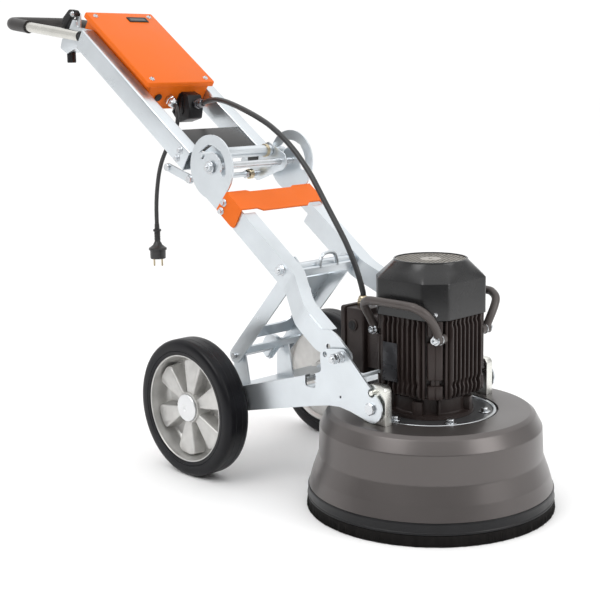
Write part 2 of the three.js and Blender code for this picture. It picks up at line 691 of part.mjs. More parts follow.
const legBolts = [-1, 1].map((s) => bar("y", 5, s * 85, s * GRIP_HALF_WIDTH, [0, 0]));
piece("handlebar", union(bentBar(BAR_STUB, BAR_R, 12), ...legBolts), zinc, barGroup);
const gripBody = cut(bentBar(-GRIP_FROM, GRIP_R, 12), bentBar(BAR_STUB, BAR_R + 0.6, 12));
piece("hand_grip", gripBody, rubber, barGroup);

// ---- grinding head ----
function shroud() {
  return turned(
    [
      [SHROUD_HOLE_R, 193], [199, 193], [218, 164], [221, 109], [225.3, 91],
      [237.7, 55], [240.3, 45], [244.3, 45], [241.8, 55], [229.5, 91], [225, 109],
      [222.5, 165], [205, 192], [199, SHROUD_TOP], [SHROUD_HOLE_R, SHROUD_TOP],
    ],
    40,
  );
}
piece("shroud", shroud(), shroudGrey);
piece("skirt_band", turned([[241, 22], [247.5, 22], [245.4, 44.7], [241, 44.7]], 40), blackPlastic);
piece("brush_ring", turned([[242, 0], [SKIRT_R, 0], [247, 21.7], [242, 21.7]], 40), bristle);

const SHAFT_R = 14;
const GEARBOX_FLOOR = 150;
const PLATE_TOP = 202;
const gearHousing = turned(
  [
    [SHAFT_R + 2, GEARBOX_FLOOR], [110, GEARBOX_FLOOR], [110, 188], [131, 188], [131, PLATE_TOP - 3],
    [129, PLATE_TOP - 3], [127, PLATE_TOP - 1], [SHAFT_R + 2, PLATE_TOP - 1],
  ],
  32,
);
piece("gear_housing", gearHousing, steel);

function headLug(side) {
  const foot = SHROUD_TOP + GAP;
  const shape = [
    [-28, foot], [28.5, foot], [28.5, 262, 10], [22, 273, 10], [-20, 273, 12], [-28, 256, 12],
  ];
  const body = plateXZ(shape, side * 147, side * 166);
  const stop = bar("y", 4.8, side * 165, side * 177.5, STOP_PIN);
  return union(cut(body, bore("y", 8.4, side * 146, side * 167, HEAD_PIVOT)), stop);
}
piece("head_lug_right", headLug(-1), steel);
piece("head_lug_left", headLug(1), steel);

const CORE_R = 84;
const ROTOR_BORE = 62;
const FIN_PITCH = 12.5;
const FIN_REACH = 92;
function motorBody() {
  const core = bar("z", CORE_R, 232, COWL_BOTTOM - GAP, [0, 0], 24);
  const skirt = bar("z", 72, PLATE_TOP - 1 + GAP, 234, [0, 0], 24);
  let body = core.add(skirt);
  for (let face = 0; face < 4; face += 1) {
    const turn = face * 90;
    for (let i = -3.5; i <= 3.5; i += 1) {
      const behindBox = face === 2 && Math.abs(i) < 3;
      if (behindBox) continue;
      const y = i * FIN_PITCH;
      const fin = block([66, y - 2, 234], [FIN_REACH, y + 2, COWL_BOTTOM - GAP]);
      body = body.add(fin.rotate([0, 0, turn]));
    }
    const post = block([76, -21.5, 236], [COWL_CORNER - 0.5, 21.5, COWL_BOTTOM - GAP]);
    const notches = [266, 350].flatMap((z) => [
      block([90, -24, z - 4], [110, -14, z + 8]),
      block([90, 14, z - 4], [110, 24, z + 8]),
    ]);
    body = body.add(cut(post, ...notches).rotate([0, 0, turn + 45]));
    body = body.add(block([60, -9, PLATE_TOP - 1 + GAP], [80, 9, 226]).rotate([0, 0, turn + 20]));
  }
  return body.subtract(bore("z", ROTOR_BORE, 246, COWL_BOTTOM + 1, [0, 0], 20))
    .subtract(bore("z", SHAFT_R + 1, 190, 250, [0, 0], 24));
}
piece("motor_body", motorBody(), motorBrown);

// Cowl: eight-sided, then drawn in to a round air inlet.
const INLET_R = 72.5;
function cowlRadius(angle) {
  const nearest = Math.abs(angle - (Math.round(angle / (Math.PI / 2)) * Math.PI) / 2);
  return Math.min(COWL_FACE / Math.cos(nearest), COWL_CORNER / Math.cos(Math.PI / 4 - nearest));
}
function cowlShell(inset) {
  const low = COWL_BOTTOM - (inset > 0 ? 1 : 0);
  const shift = inset > 0 ? -inset : 0;
  const octagon = arc(0, 0, 1, 0, 345, 23).map(([x, y]) => {
    const r = cowlRadius(Math.atan2(y, x)) - inset;
    return [x * r, y * r];
  });
  const cone = new THREE.CylinderGeometry(1, 1, 1, 24);
  cone.rotateX(Math.PI / 2);
  const place = cone.getAttribute("position");
  for (let i = 0; i < place.count; i += 1) {
    const [x, y, z] = [place.getX(i), place.getY(i), place.getZ(i)];
    const onAxis = Math.hypot(x, y) < 0.5;
    const r = z > 0 ? INLET_R - inset : cowlRadius(Math.atan2(y, x)) - inset;
    const top = COWL_TOP + (inset > 0 ? 1 : 0);
    place.setXYZ(i, onAxis ? 0 : x * r, onAxis ? 0 : y * r, z > 0 ? top : COWL_SHOULDER + shift * 0.4);
  }
  return union(plateXY(octagon, low, COWL_SHOULDER + shift * 0.4 + 0.01), solid(cone));
}
piece("fan_cowl", cut(cowlShell(0), cowlShell(3)), cowlGrey);

function grille() {
  let body = bar("z", INLET_R - 3 - GAP * 2, COWL_TOP - 3, COWL_TOP - 0.5, [0, 0], 24);
  for (const [inner, outer, count] of [[20, 42, 8], [46, 63, 12]]) {
    for (let i = 0; i < count; i += 1) {
      const from = (i * 360) / count + 3;
      const to = ((i + 1) * 360) / count - 3;
      const slot = [...arc(0, 0, outer, from, to, 2), ...arc(0, 0, inner, to, from, 1)];
      body = body.subtract(plateXY(slot, COWL_TOP - 6, COWL_TOP + 2));
    }
  }
  return body;
}
piece("air_grille", grille(), cowlGrey);

// ---- drive inside the head ----
const FAN_BLADES = 6;
function rotor() {
  const shaft = bar("z", SHAFT_R, 151, 482, [0, 0], 24);
  const core = bar("z", 59, 252, 384, [0, 0], 20);
  let body = union(shaft, core, bar("z", 24, 434, 462, [0, 0], 24));
  for (let i = 0; i < FAN_BLADES; i += 1) {
    body = body.add(block([20, -1.5, 436], [76, 1.5, 460]).rotate([0, 0, (i * 360) / FAN_BLADES]));
  }
  return body;
}
piece("rotor_shaft", rotor(), steel);
const CARRIER_R = 208;
const carrierProfile = [
  [0, 62], [CARRIER_R, 62], [CARRIER_R, 76], [96, 84], [60, 92], [60, 149.4], [0, 149.4],
];
piece("planet_carrier", turned(carrierProfile, 32), castAluminium);
const DISC_ORBIT = 122;
const GRIND_R = 96;
const DISC_COUNT = 3;
function grindingDisc() {
  let body = union(bar("z", GRIND_R, 16, 26, [0, 0], 24), bar("z", 30, 24, 62 - GAP, [0, 0], 24));
  for (let i = 0; i < 6; i += 1) {
    const pad = block([64, -12, 1.5], [88, 12, 17]);
    body = body.add(pad.rotate([0, 0, i * 60]));
  }
  return body;
}
for (let i = 0; i < DISC_COUNT; i += 1) {
  const disc = new THREE.Group();
  const turn = rad(i * (360 / DISC_COUNT));
  disc.position.set(DISC_ORBIT * Math.cos(turn), DISC_ORBIT * Math.sin(turn), 0);
  machine.add(disc);
  piece(`grinding_disc_${i + 1}`, grindingDisc(), diamond, disc);
}

// ---- terminal box and lift handles ----
const BOX_GLAND = [-172, -9];
const terminalBox = union(
  block([-187, -46, 250], [-138, 46, 383]),
  block([-140, -34, 262], [-CORE_R - 2, 34, 371]),
  bar("y", 12, -49, -44, [-166, 348]),
);
piece("terminal_box", terminalBox, motorBrown);
piece("terminal_lid", block([-199, -49, 247], [-187 - GAP, 49, 386]), motorBrown);
const cableGland = union(bar("z", 11.5, 383 + GAP, 391, BOX_GLAND, 6), bar("z", 9, 390, 403, BOX_GLAND));
piece("motor_gland", cableGland, brass);

function liftHandle(side) {
  const half = [[84, 88, 354], [84, 97, 374], [76, 112, 402], [58, 122, 419], [30, 125, 425]];
  const whole = [...half.map(([x, y, z]) => [-x, y, z]), ...half.reverse()];
  const points = whole.map(([x, y, z]) => [x, side * y, z]);
  const turnOf = (s) => side * (s < 0 ? 135 : 45);
  const boss = (s) => bar("x", 8, COWL_CORNER, 125, [0, 354]).rotate([0, 0, turnOf(s)]);
  return union(swept(points, 8.5, 10, 18), boss(1), boss(-1));
}
piece("lift_handle_right", liftHandle(-1), barGrey);
piece("lift_handle_left", liftHandle(1), barGrey);

// ---- cables ----
const POWER_CORD_R = 5;
const powerCordPoints = [
  [-760.3, -18, 786.2], [-753.2, -18.5, 780.6], [-748.5, -19.5, 770.5], [-747, -21, 758],
  [-749, -22.5, 742], [-755.5, -24, 724], [-766, -26, 707], [-779, -28, 690],
  [-792, -29, 672], [-804, -30, 650], [-814, -30, 626], [-821, -30, 600],
  [-826, -30, 574], [-829, -30, 548], [-830, -30, 524], [-830, -30, 504],
];
piece("power_cord", swept(powerCordPoints, POWER_CORD_R, 8, 16), cableBlack);

const PLUG_AT = [-830, -30];
function plug() {
  const body = turned(
    [
      [0, 420], [17, 420], [19, 423], [19, 444], [23, 446], [23, 450], [17, 454], [11, 460], [8, 478],
      [6.5, 496], [9, 498], [9, 503.5], [0, 503.5],
    ],
    12,
  );
  const pins = [-9.5, 9.5].map((d) => bar("z", 2.4, 400, 422, [0, d], 12));
  return union(body, ...pins).rotate([0, 0, 45]).translate([PLUG_AT[0], PLUG_AT[1], 0]);
}
piece("power_plug", plug(), cableBlack);

const MOTOR_CABLE_R = 6;
const motorCablePoints = [
  [-712, 30, 791.1], [-692, 29.5, 795.8], [-664, 27, 798.6], [-630, 22.5, 795.4],
  [-596, 18, 788.5], [-560, 13.5, 779.5], [-526, 9, 770], [-494, 5.5, 759.5], [-463, 2.5, 747.5],
  [-434, 0, 733], [-409, -1.5, 718], [-387, -2.5, 702.5], [-366, -3, 685], [-346, -4, 666],
  [-326, -4.5, 645], [-306, -5.5, 620.5], [-286, -6, 594], [-264, -6.5, 565.5],
  [-242, -7.5, 537.5], [-222, -8, 510.5], [-205, -8.5, 483.5], [-190, -9, 456],
  [-179.5, -9, 431], [-174, -9, 415], [-172.2, -9, 409], [-172, -9, 404],
];
piece("motor_cable", swept(motorCablePoints, MOTOR_CABLE_R, 8, 32), cableBlack);

export default machine;
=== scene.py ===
import math
import random

import bmesh
import bpy
from mathutils import Matrix, Vector


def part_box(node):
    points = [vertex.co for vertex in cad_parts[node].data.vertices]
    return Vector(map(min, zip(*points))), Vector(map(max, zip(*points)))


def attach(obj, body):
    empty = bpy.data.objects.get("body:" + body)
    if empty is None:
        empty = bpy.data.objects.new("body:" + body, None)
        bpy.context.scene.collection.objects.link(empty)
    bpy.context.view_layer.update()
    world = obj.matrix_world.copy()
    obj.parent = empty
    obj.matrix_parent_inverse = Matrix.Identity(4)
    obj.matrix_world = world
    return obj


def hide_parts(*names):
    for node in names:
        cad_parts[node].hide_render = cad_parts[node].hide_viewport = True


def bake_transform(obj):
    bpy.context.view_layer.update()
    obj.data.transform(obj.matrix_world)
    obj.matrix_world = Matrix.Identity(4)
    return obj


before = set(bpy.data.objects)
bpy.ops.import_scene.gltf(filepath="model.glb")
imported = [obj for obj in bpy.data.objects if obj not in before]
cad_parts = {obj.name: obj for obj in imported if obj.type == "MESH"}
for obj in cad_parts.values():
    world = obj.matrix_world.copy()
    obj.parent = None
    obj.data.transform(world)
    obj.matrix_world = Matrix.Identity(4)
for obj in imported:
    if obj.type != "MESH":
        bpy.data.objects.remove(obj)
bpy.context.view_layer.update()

# ---- places ----
# Lengths are in millimetres, from the floor below the grinding head's axis: +X forward, +Y left, +Z up.
HEAD_AXIS = sum(corner.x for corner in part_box("brush_ring")) / 2
BASE = Matrix.Translation((HEAD_AXIS, 0, 0)) @ Matrix.Scale(0.001, 4)


def point(place, x, y, z):
    return place @ Vector((x, y, z))


def shifted(x, y, z, place=Matrix.Identity(4)):
    """A place moved along its own axes."""
    return place @ Matrix.Translation((x, y, z))


def turned(degrees, axis="Z"):
    return Matrix.Rotation(math.radians(degrees), 4, axis)


def slope(x, z, degrees):
    """Frame of a tilted group: X runs down the slope, Y across, Z off its face."""
    return shifted(x, 0, z, BASE) @ turned(degrees, "Y")


MAST = slope(-78, 317, 36.3)
HANDLE = slope(-974, 964, 35.2)
BAR = slope(-1022, 952.2, 7.6)
CROSSBAR, STRUT_PIN = (-298, 457), (-497, 238)
STRUT = slope(*STRUT_PIN, -math.degrees(math.atan2(CROSSBAR[1] - STRUT_PIN[1], CROSSBAR[0] - STRUT_PIN[0])))
SIDES = {"right": -1, "left": 1}


# ---- mesh tools ----
def lathe(profile, steps=96, closed=True):
    """Body of revolution about Z from (radius, height) points; ends on the axis need no closing."""
    bm = bmesh.new()
    rings = []
    turn = 2 * math.pi / steps
    for r, z in profile:
        around = range(steps if r > 0 else 1)
        rings.append([bm.verts.new((r * math.cos(i * turn), r * math.sin(i * turn), z)) for i in around])
    pairs = list(zip(rings, rings[1:])) + ([(rings[-1], rings[0])] if closed else [])
    for a, b in pairs:
        for i in range(steps):
            j = (i + 1) % steps
            corners = list(dict.fromkeys([a[i % len(a)], a[j % len(a)], b[j % len(b)], b[i % len(b)]]))
            if len(corners) > 2:
                bm.faces.new(corners)
    bmesh.ops.recalc_face_normals(bm, faces=bm.faces)
    return bm


def rounded(points, steps=5):
    """Outline with its corners rounded: points are (a, b) or (a, b, radius)."""
    out = []
    n = len(points)
    for i, corner in enumerate(points):
        p = Vector(corner[:2])
        r = corner[2] if len(corner) > 2 else 0
        if r <= 0:
            out.append(p)
            continue
        back = Vector(points[i - 1][:2]) - p
        ahead = Vector(points[(i + 1) % n][:2]) - p
        half = back.angle(ahead) / 2
        reach = min(r / math.tan(half), 0.49 * back.length, 0.49 * ahead.length)
        centre = p + (back.normalized() + ahead.normalized()).normalized() * (reach / math.cos(half))
        first = p + back.normalized() * reach - centre
        last = p + ahead.normalized() * reach - centre
        sweep = first.angle_signed(last)
        for k in range(steps + 1):
            out.append(centre + Matrix.Rotation(-sweep * k / steps, 2) @ first)
    return [tuple(p) for p in out]


def circle(a, b, r, steps=28):
    turns = [2 * math.pi * k / steps for k in range(steps)]
    return [(a + r * math.cos(t), b + r * math.sin(t)) for t in turns]


PLANES = {
    "xy": Matrix.Identity(4),
    "xz": Matrix(((1, 0, 0, 0), (0, 0, -1, 0), (0, 1, 0, 0), (0, 0, 0, 1))),
    "yz": Matrix(((0, 0, 1, 0), (1, 0, 0, 0), (0, 1, 0, 0), (0, 0, 0, 1))),
}


def plate(plane, low, high, outline, holes=(), edge=0.6):
    """Flat piece with softened edges between two heights over a plane."""
    curve = bpy.data.curves.new("plate", "CURVE")
    curve.dimensions = "2D"
    curve.fill_mode = "BOTH"
    low, high = min(low, high), max(low, high)
    curve.extrude = (high - low) / 2 - edge
    curve.bevel_depth = edge
    curve.bevel_resolution = 1
    curve.offset = -edge
    for loop in [outline, *holes]:
        spline = curve.splines.new("POLY")
        spline.points.add(len(loop) - 1)
        for target, source in zip(spline.points, loop):
            target.co = (source[0], source[1], 0, 1)
        spline.use_cyclic_u = True
    holder = bpy.data.objects.new("plate", curve)
    mesh = holder.to_mesh()
    bm = bmesh.new()
    bm.from_mesh(mesh)
    bpy.data.objects.remove(holder)
    bpy.data.curves.remove(curve)
    bmesh.ops.remove_doubles(bm, verts=bm.verts, dist=1e-3)
    flip = -1 if plane == "xz" else 1
    bm.transform(shifted(0, 0, flip * (low + high) / 2, PLANES[plane]))
    bmesh.ops.recalc_face_normals(bm, faces=bm.faces)
    return bm


def smooth_path(points, steps):
    """Catmull-Rom curve through points, with a number of steps per stretch."""
    pts = [Vector(p) for p in points]
    pts = [2 * pts[0] - pts[1], *pts, 2 * pts[-1] - pts[-2]]
    out = []
    for a, b, c, d in zip(pts, pts[1:], pts[2:], pts[3:]):
        for k in range(steps):
            t = k / steps
            out.append(0.5 * (2 * b + (c - a) * t + (2 * a - 5 * b + 4 * c - d) * t**2
                              + (3 * b - a - 3 * c + d) * t**3))
    return [*out, pts[-2]]


def bend(points, radii, steps=6):
    """Straight runs joined by true arcs; radii has one radius for each inner point."""
    pts = [Vector(p) for p in points]
    out = [pts[0]]
    for p, q, s, r in zip(pts, pts[1:], pts[2:], radii):
        back = (p - q).normalized()
        ahead = (s - q).normalized()
        half = back.angle(ahead) / 2
        centre = q + (back + ahead).normalized() * (r / math.sin(half))
        first = q + back * (r / math.tan(half)) - centre
        last = q + ahead * (r / math.tan(half)) - centre
        total = first.angle(last)
        for k in range(steps + 1):
            f = k / steps * total
            out.append(centre + (first * math.sin(total - f) + last * math.sin(f)) / math.sin(total))
    return [*out, pts[-1]]


def rod(path, r, sides=20, up=Vector((0, 0, 1))):
    """Round bar along a path, with its ends capped and its section kept level by up."""
    section = circle(0, 0, r, sides)
    rings = []
    for i, p in enumerate(path):
        out = (path[i + 1] - p if i < len(path) - 1 else p - path[i - 1]).normalized()
        into = (p - path[i - 1]).normalized() if i else out
        along = (into + out).normalized()
        sideways = along.cross(up).normalized()
        over = sideways.cross(along).normalized()
        widen = 1 / max(0.5, along.dot(out))
        rings.append([p + sideways * a * widen + over * b for a, b in section])
    return loft(rings)


def block(low, high, edge=0.8):
    """Box between two corners with softened edges."""
    bm = bmesh.new()
    bmesh.ops.create_cube(bm, size=1)
    size = [h - l for l, h in zip(low, high)]
    middle = [(h + l) / 2 for l, h in zip(low, high)]
    bm.transform(shifted(*middle) @ Matrix.Diagonal((*size, 1)))
    bmesh.ops.bevel(bm, geom=bm.edges, offset=edge, segments=2, profile=0.5, affect="EDGES")
    return bm


def joined(*parts):
    """One bmesh from several, each a bmesh or a (bmesh, matrix) pair."""
    bm = bmesh.new()
    for part in parts:
        part, matrix = part if isinstance(part, tuple) else (part, None)
        if matrix is not None:
            part.transform(matrix)
        mesh = bpy.data.meshes.new("part")
        part.to_mesh(mesh)
        part.free()
        bm.from_mesh(mesh)
        bpy.data.meshes.remove(mesh)
    return bm


def loft(rings, cap=True):
    """Skin over rings that all have the same number of points."""
    bm = bmesh.new()
    rows = [[bm.verts.new(p) for p in row] for row in rings]
    n = len(rows[0])
    for a, b in zip(rows, rows[1:] if cap else [*rows[1:], rows[0]]):
        for i in range(n):
            bm.faces.new((a[i], a[(i + 1) % n], b[(i + 1) % n], b[i]))
    if cap:
        bm.faces.new(rows[0][::-1])
        bm.faces.new(rows[-1])
    bmesh.ops.recalc_face_normals(bm, faces=bm.faces)
    return bm


def tray(low, high, corner, rows):
    """Closed body from rounded rectangles, one for each (inset, height)."""
    rings = []
    for inset, z in rows:
        x0, y0, x1, y1 = low[0] + inset, low[1] + inset, high[0] - inset, high[1] - inset
        r = max(0.3, corner - inset)
        outline = rounded([(x0, y0, r), (x1, y0, r), (x1, y1, r), (x0, y1, r)])
        rings.append([Vector((*p, z)) for p in outline])
    return loft(rings)


def facing(direction, position=(0, 0, 0)):
    """Matrix that turns +Z to a direction and moves to a position."""
    return shifted(*position) @ Vector(direction).to_track_quat("Z", "Y").to_matrix().to_4x4()


def within(place, x, z):
    """Coordinates inside a tilted group of a point given in the machine's X-Z plane."""
    inside = place.inverted() @ point(BASE, x, 0, z)
    return inside.x, inside.z


def across(x, z, side=1, y=0):
    """Turns +Z outwards to one side, at a point."""
    return facing((0, side, 0), (x, side * y, z))


# ---- fasteners ----
def disc(r, low, high, edge=0.5, steps=40):
    rows = [(r - edge, low), (r, low + edge), (r, high - edge), (r - edge, high)]
    return lathe([(0, low), *rows, (0, high)], steps)


def ring(inner, outer, low, high, edge=0.4, steps=40):
    return lathe([
        (inner, low + edge), (inner + edge, low), (outer - edge, low), (outer, low + edge),
        (outer, high - edge), (outer - edge, high), (inner + edge, high), (inner, high - edge),
    ], steps)


def hex_head(width, height, start=0):
    """Hexagon head or nut with a chamfered top, standing on Z = start."""
    r = width / math.sqrt(3)
    rows = [(r * 0.97, start), (r, start + 0.3), (r, start + height * 0.8), (r * 0.88, start + height)]
    return lathe([(0, start), *rows, (0, start + height)], 6)


def bolt(width, height, washer, thick):
    """Hexagon head on a washer."""
    return joined(disc(washer, 0, thick), hex_head(width, height, thick))


def socket_screw(r, height, washer=0):
    """Cap screw with a hexagon socket."""
    start = 1.2 if washer else 0
    hole = r * 0.52
    head = lathe([
        (r, start), (r, start + height - 0.7), (r - 0.7, start + height), (hole + 0.3, start + height),
        (hole, start + height - 0.4), (hole, start + height * 0.45), (0, start + height * 0.45),
    ], 24, False)
    return joined(head, disc(washer, 0, start)) if washer else head


def pan_screw(r, height):
    """Low round-headed screw with a recess."""
    hole = r * 0.4
    rows = [(r, 0), (r * 0.97, height * 0.4), (r * 0.8, height * 0.8), (hole, height)]
    return lathe([*rows, (hole * 0.9, height * 0.35), (0, height * 0.3)], 24, False)


def set_range(node, *numbers):
    for key, number in zip(("From Min", "From Max", "To Min", "To Max"), numbers):
        node.inputs[key].default_value = number


def finish(name, colour, roughness, metallic=0.0, shade=0.1, spot=14, grain=700, bump=0.15,
           depth=0.00012, stretch=(1, 1, 1), edge_highlight_and_wear=None, edge_highlight_and_wear_strength=0.3, coat=0.0, uneven=0.12, shine=0.4):
    """Procedural finish: mottled colour, uneven gloss, fine grain and a lighter colour on the edges, which is
    painted highlight on the orange and motor paint and bare metal scuffed through on the bar paint.
    """
    material = bpy.data.materials.new(name)
    material.use_nodes = True
    tree = material.node_tree
    tree.nodes.clear()

    def node(kind, **inputs):
        made = tree.nodes.new(kind)
        for key, value in inputs.items():
            socket = made.inputs[key.replace("_", " ")]
            if isinstance(value, bpy.types.NodeSocket):
                tree.links.new(value, socket)
            else:
                socket.default_value = value
        return made

    def scaled(value, *numbers):
        made = node("ShaderNodeMapRange", Value=value)
        set_range(made, *numbers)
        return made.outputs["Result"]

    def mixed(factor, a, b):
        made = tree.nodes.new("ShaderNodeMix")
        made.data_type = "RGBA"
        for key, value in (("Factor_Float", factor), ("A_Color", a), ("B_Color", b)):
            socket = next(s for s in made.inputs if s.identifier == key)
            if isinstance(value, bpy.types.NodeSocket):
                tree.links.new(value, socket)
            else:
                socket.default_value = value
        return next(s for s in made.outputs if s.identifier == "Result_Color")

    def product(a, b):
        made = tree.nodes.new("ShaderNodeMath")
        made.operation = "MULTIPLY"
        tree.links.new(a, made.inputs[0])
        tree.links.new(b, made.inputs[1])
        return made.outputs[0]

    place = node("ShaderNodeMapping", Vector=node("ShaderNodeTexCoord").outputs["Object"])
    place.inputs["Scale"].default_value = stretch
    patches = node("ShaderNodeTexNoise", Vector=place.outputs[0], Scale=spot, Detail=3.0, Roughness=0.5)
    fine = node("ShaderNodeTexNoise", Vector=place.outputs[0], Scale=grain, Detail=2.0)
    mottle = scaled(patches.outputs["Fac"], 0.3, 0.7, 0, 1)
    dark = (*[c * (1 - shade) for c in colour], 1)
    light = (*[min(1, c * (1 + shade)) for c in colour], 1)
    paint = mixed(mottle, dark, light)
    gloss = scaled(patches.outputs["Fac"], 0.3, 0.7, roughness - uneven / 2, roughness + uneven / 2)
    # Lighter colour on the edges, found by pointiness and broken up by noise: painted highlight on the orange
    # and motor paint, bare metal scuffed through on the bar paint.
    if edge_highlight_and_wear:
        edge = scaled(node("ShaderNodeNewGeometry").outputs["Pointiness"], 0.56, 0.64, 0, 1)
        edge_highlight_and_wear_patches = node("ShaderNodeTexNoise", Scale=60.0, Detail=6.0).outputs["Fac"]
        paint = mixed(product(edge, scaled(edge_highlight_and_wear_patches, 0.45, 0.65, 0, edge_highlight_and_wear_strength)), paint, (*edge_highlight_and_wear, 1))
    shader = node("ShaderNodeBsdfPrincipled", Base_Color=paint, Roughness=gloss, Metallic=metallic)
    shader.inputs["Coat Weight"].default_value = coat
    shader.inputs["Specular IOR Level"].default_value = shine
    shader.inputs["Coat Roughness"].default_value = 0.28
    relief = node("ShaderNodeBump", Height=fine.outputs["Fac"], Strength=bump, Distance=depth)
    tree.links.new(relief.outputs[0], shader.inputs["Normal"])
    output = node("ShaderNodeOutputMaterial")
    tree.links.new(shader.outputs[0], output.inputs[0])
    return material


ZINC = finish("zinc_plate", (0.66, 0.70, 0.73), 0.32, 0.9, 0.07, 12, 300, 0.02, uneven=0.1)
STEEL = finish("bright_steel", (0.62, 0.64, 0.66), 0.24, 1, 0.05, 40, 600, 0.02, uneven=0.06)
# Painted highlight: the orange paint's edges are drawn in a lighter orange, as if lit.
ORANGE = finish("orange_paint", (0.77, 0.142, 0.010), 0.34, 0, 0.03, 9, 1200, 0.02,
                edge_highlight_and_wear=(0.75, 0.22, 0.03), shine=0.14)
SHROUD = finish("shroud_paint", (0.108, 0.097, 0.094), 0.34, 0.6, 0.04, 8, 1800, 0.02,
                coat=0.25, uneven=0.05)
# Painted highlight: the motor paint's edges are drawn lighter, as if lit.
MOTOR = finish("motor_paint", (0.030, 0.021, 0.019), 0.38, 0, 0.15, 20, 400, 0.15,
               edge_highlight_and_wear=(0.1, 0.085, 0.08), shine=0.35)
COWL = finish("cowl_paint", (0.008, 0.008, 0.0085), 0.26, 0, 0.15, 16, 1100, 0.04, shine=0.55)
BLACK = finish("black_plastic", (0.009, 0.009, 0.010), 0.38, 0, 0.2, 30, 1600, 0.06,
               shine=0.28)
TYRE = finish("tyre_rubber", (0.0055, 0.0055, 0.0075), 0.38, 0, 0.3, 16, 700, 0.1,
              uneven=0.2, shine=0.22)
RUBBER = finish("grip_rubber", (0.030, 0.027, 0.026), 0.42, 0, 0.25, 30, 1300, 0.2, 0.0002)
CABLE = finish("cable_sheath", (0.026, 0.026, 0.027), 0.36, 0, 0.2, 30, 1500, 0.05, shine=0.5)
CAST = finish("cast_aluminium", (0.57, 0.565, 0.55), 0.42, 0.85, 0.16, 26, 500, 0.25,
              0.0002)
# The bar paint's grey edges are bare metal scuffed through.
BAR_PAINT = finish("bar_paint", (0.075, 0.064, 0.060), 0.34, 0.1, 0.08, 25, 1200, 0.05,
                   edge_highlight_and_wear=(0.5, 0.5, 0.5), edge_highlight_and_wear_strength=0.2)
BRISTLE = finish("bristle", (0.008, 0.007, 0.0065), 0.6, 0, 0.5, 90, 900, 0.4,
                 stretch=(1, 1, 0.2), shine=0.15)
BRASS = finish("nickel_brass", (0.55, 0.47, 0.33), 0.3, 1, 0.08, 40, 900, 0.08)
RED = finish("red_plastic", (0.55, 0.02, 0.015), 0.3, 0, 0.05, 20, 1500, 0.06, coat=0.4)
GREEN = finish("green_plastic", (0.02, 0.22, 0.06), 0.3, 0, 0.05, 20, 1500, 0.06, coat=0.4)
GLASS = finish("meter_glass", (0.01, 0.012, 0.014), 0.12, 0, 0.02, 20, 1500, 0, coat=0.6)
SEGMENT = finish("segments", (0.30, 0.26, 0.2), 0.6, 0.6, 0.25, 60, 900, 0.8, 0.0004)
GEAR_GREY = finish("gear_grey", (0.10, 0.10, 0.105), 0.34, 0.6, 0.08, 12, 900, 0.04)
LUG = finish("lug_steel", (0.74, 0.74, 0.70), 0.28, 1, 0.08, 30, 300, 0.03)
BAR_STEEL = finish("bar_steel", (0.62, 0.61, 0.57), 0.22, 1, 0.08, 30, 300, 0.03)
GUNMETAL = finish("gunmetal", (0.16, 0.16, 0.17), 0.24, 0.9, 0.1, 40, 600, 0.02)
CAP_STEEL = finish("cap_steel", (0.74, 0.75, 0.76), 0.34, 0.9, 0.03, 20, 300, 0)
LABEL = finish("name_plate", (0.06, 0.06, 0.065), 0.3, 0.6, 0.1, 60, 900, 0.03)
GUARD = finish("guard_wire", (0.36, 0.34, 0.31), 0.4, 0.5, 0.1, 40, 900, 0.1)


SMOOTH_UP_TO = 32


def smoothing_group():
    """Geometry nodes that shade smooth except across sharp edges."""
    group = bpy.data.node_groups.new("smooth_by_angle", "GeometryNodeTree")
    group.interface.new_socket("Geometry", in_out="INPUT", socket_type="NodeSocketGeometry")
    group.interface.new_socket("Geometry", in_out="OUTPUT", socket_type="NodeSocketGeometry")
    nodes, links = group.nodes, group.links
    source, target = nodes.new("NodeGroupInput"), nodes.new("NodeGroupOutput")
    faces, edges = nodes.new("GeometryNodeSetShadeSmooth"), nodes.new("GeometryNodeSetShadeSmooth")
    edges.domain = "EDGE"
    edges.inputs["Shade Smooth"].default_value = False
    corner, compare = nodes.new("GeometryNodeInputMeshEdgeAngle"), nodes.new("FunctionNodeCompare")
    compare.data_type = "FLOAT"
    compare.operation = "GREATER_THAN"
    compare.inputs[1].default_value = math.radians(SMOOTH_UP_TO)
    links.new(corner.outputs["Unsigned Angle"], compare.inputs[0])
    links.new(source.outputs[0], faces.inputs["Geometry"])
    links.new(faces.outputs[0], edges.inputs["Geometry"])
    links.new(compare.outputs[0], edges.inputs["Selection"])
    links.new(edges.outputs[0], target.inputs[0])
    return group


SMOOTHING = smoothing_group()


def soften(obj, edge, merge=False):
    """Modifiers that merge flat facets, round the sharp edges and smooth the rest."""
    if merge:
        dissolve = obj.modifiers.new("flat", "DECIMATE")
        dissolve.decimate_type = "DISSOLVE"
        dissolve.angle_limit = math.radians(1.5)
    if edge:
        bevel = obj.modifiers.new("edges", "BEVEL")
        bevel.width = edge / 1000
        bevel.segments = 2
        bevel.limit_method = "ANGLE"
        bevel.angle_limit = math.radians(40)
        bevel.harden_normals = False
    obj.modifiers.new("smooth", "NODES").node_group = SMOOTHING


def piece(name, bm, material, body, place=BASE, edge=0, stands_for=()):
    """Makes a mesh object from a bmesh in millimetres and puts it on its body."""
    bm.transform(place)
    mesh = bpy.data.meshes.new(name)
    bm.to_mesh(mesh)
    bm.free()
    obj = bpy.data.objects.new(name, mesh)
    bpy.context.scene.collection.objects.link(obj)
    mesh.materials.append(material)
    soften(obj, edge)
    if body:
        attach(obj, body)
    if stands_for:
        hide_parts(*stands_for)
    return obj


def keep(node, material, edge):
    """A CAD node that stays: it gets its finish and softened edges."""
    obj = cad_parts[node]
    obj.data.materials.clear()
    obj.data.materials.append(material)
    soften(obj, edge, merge=True)
    return obj


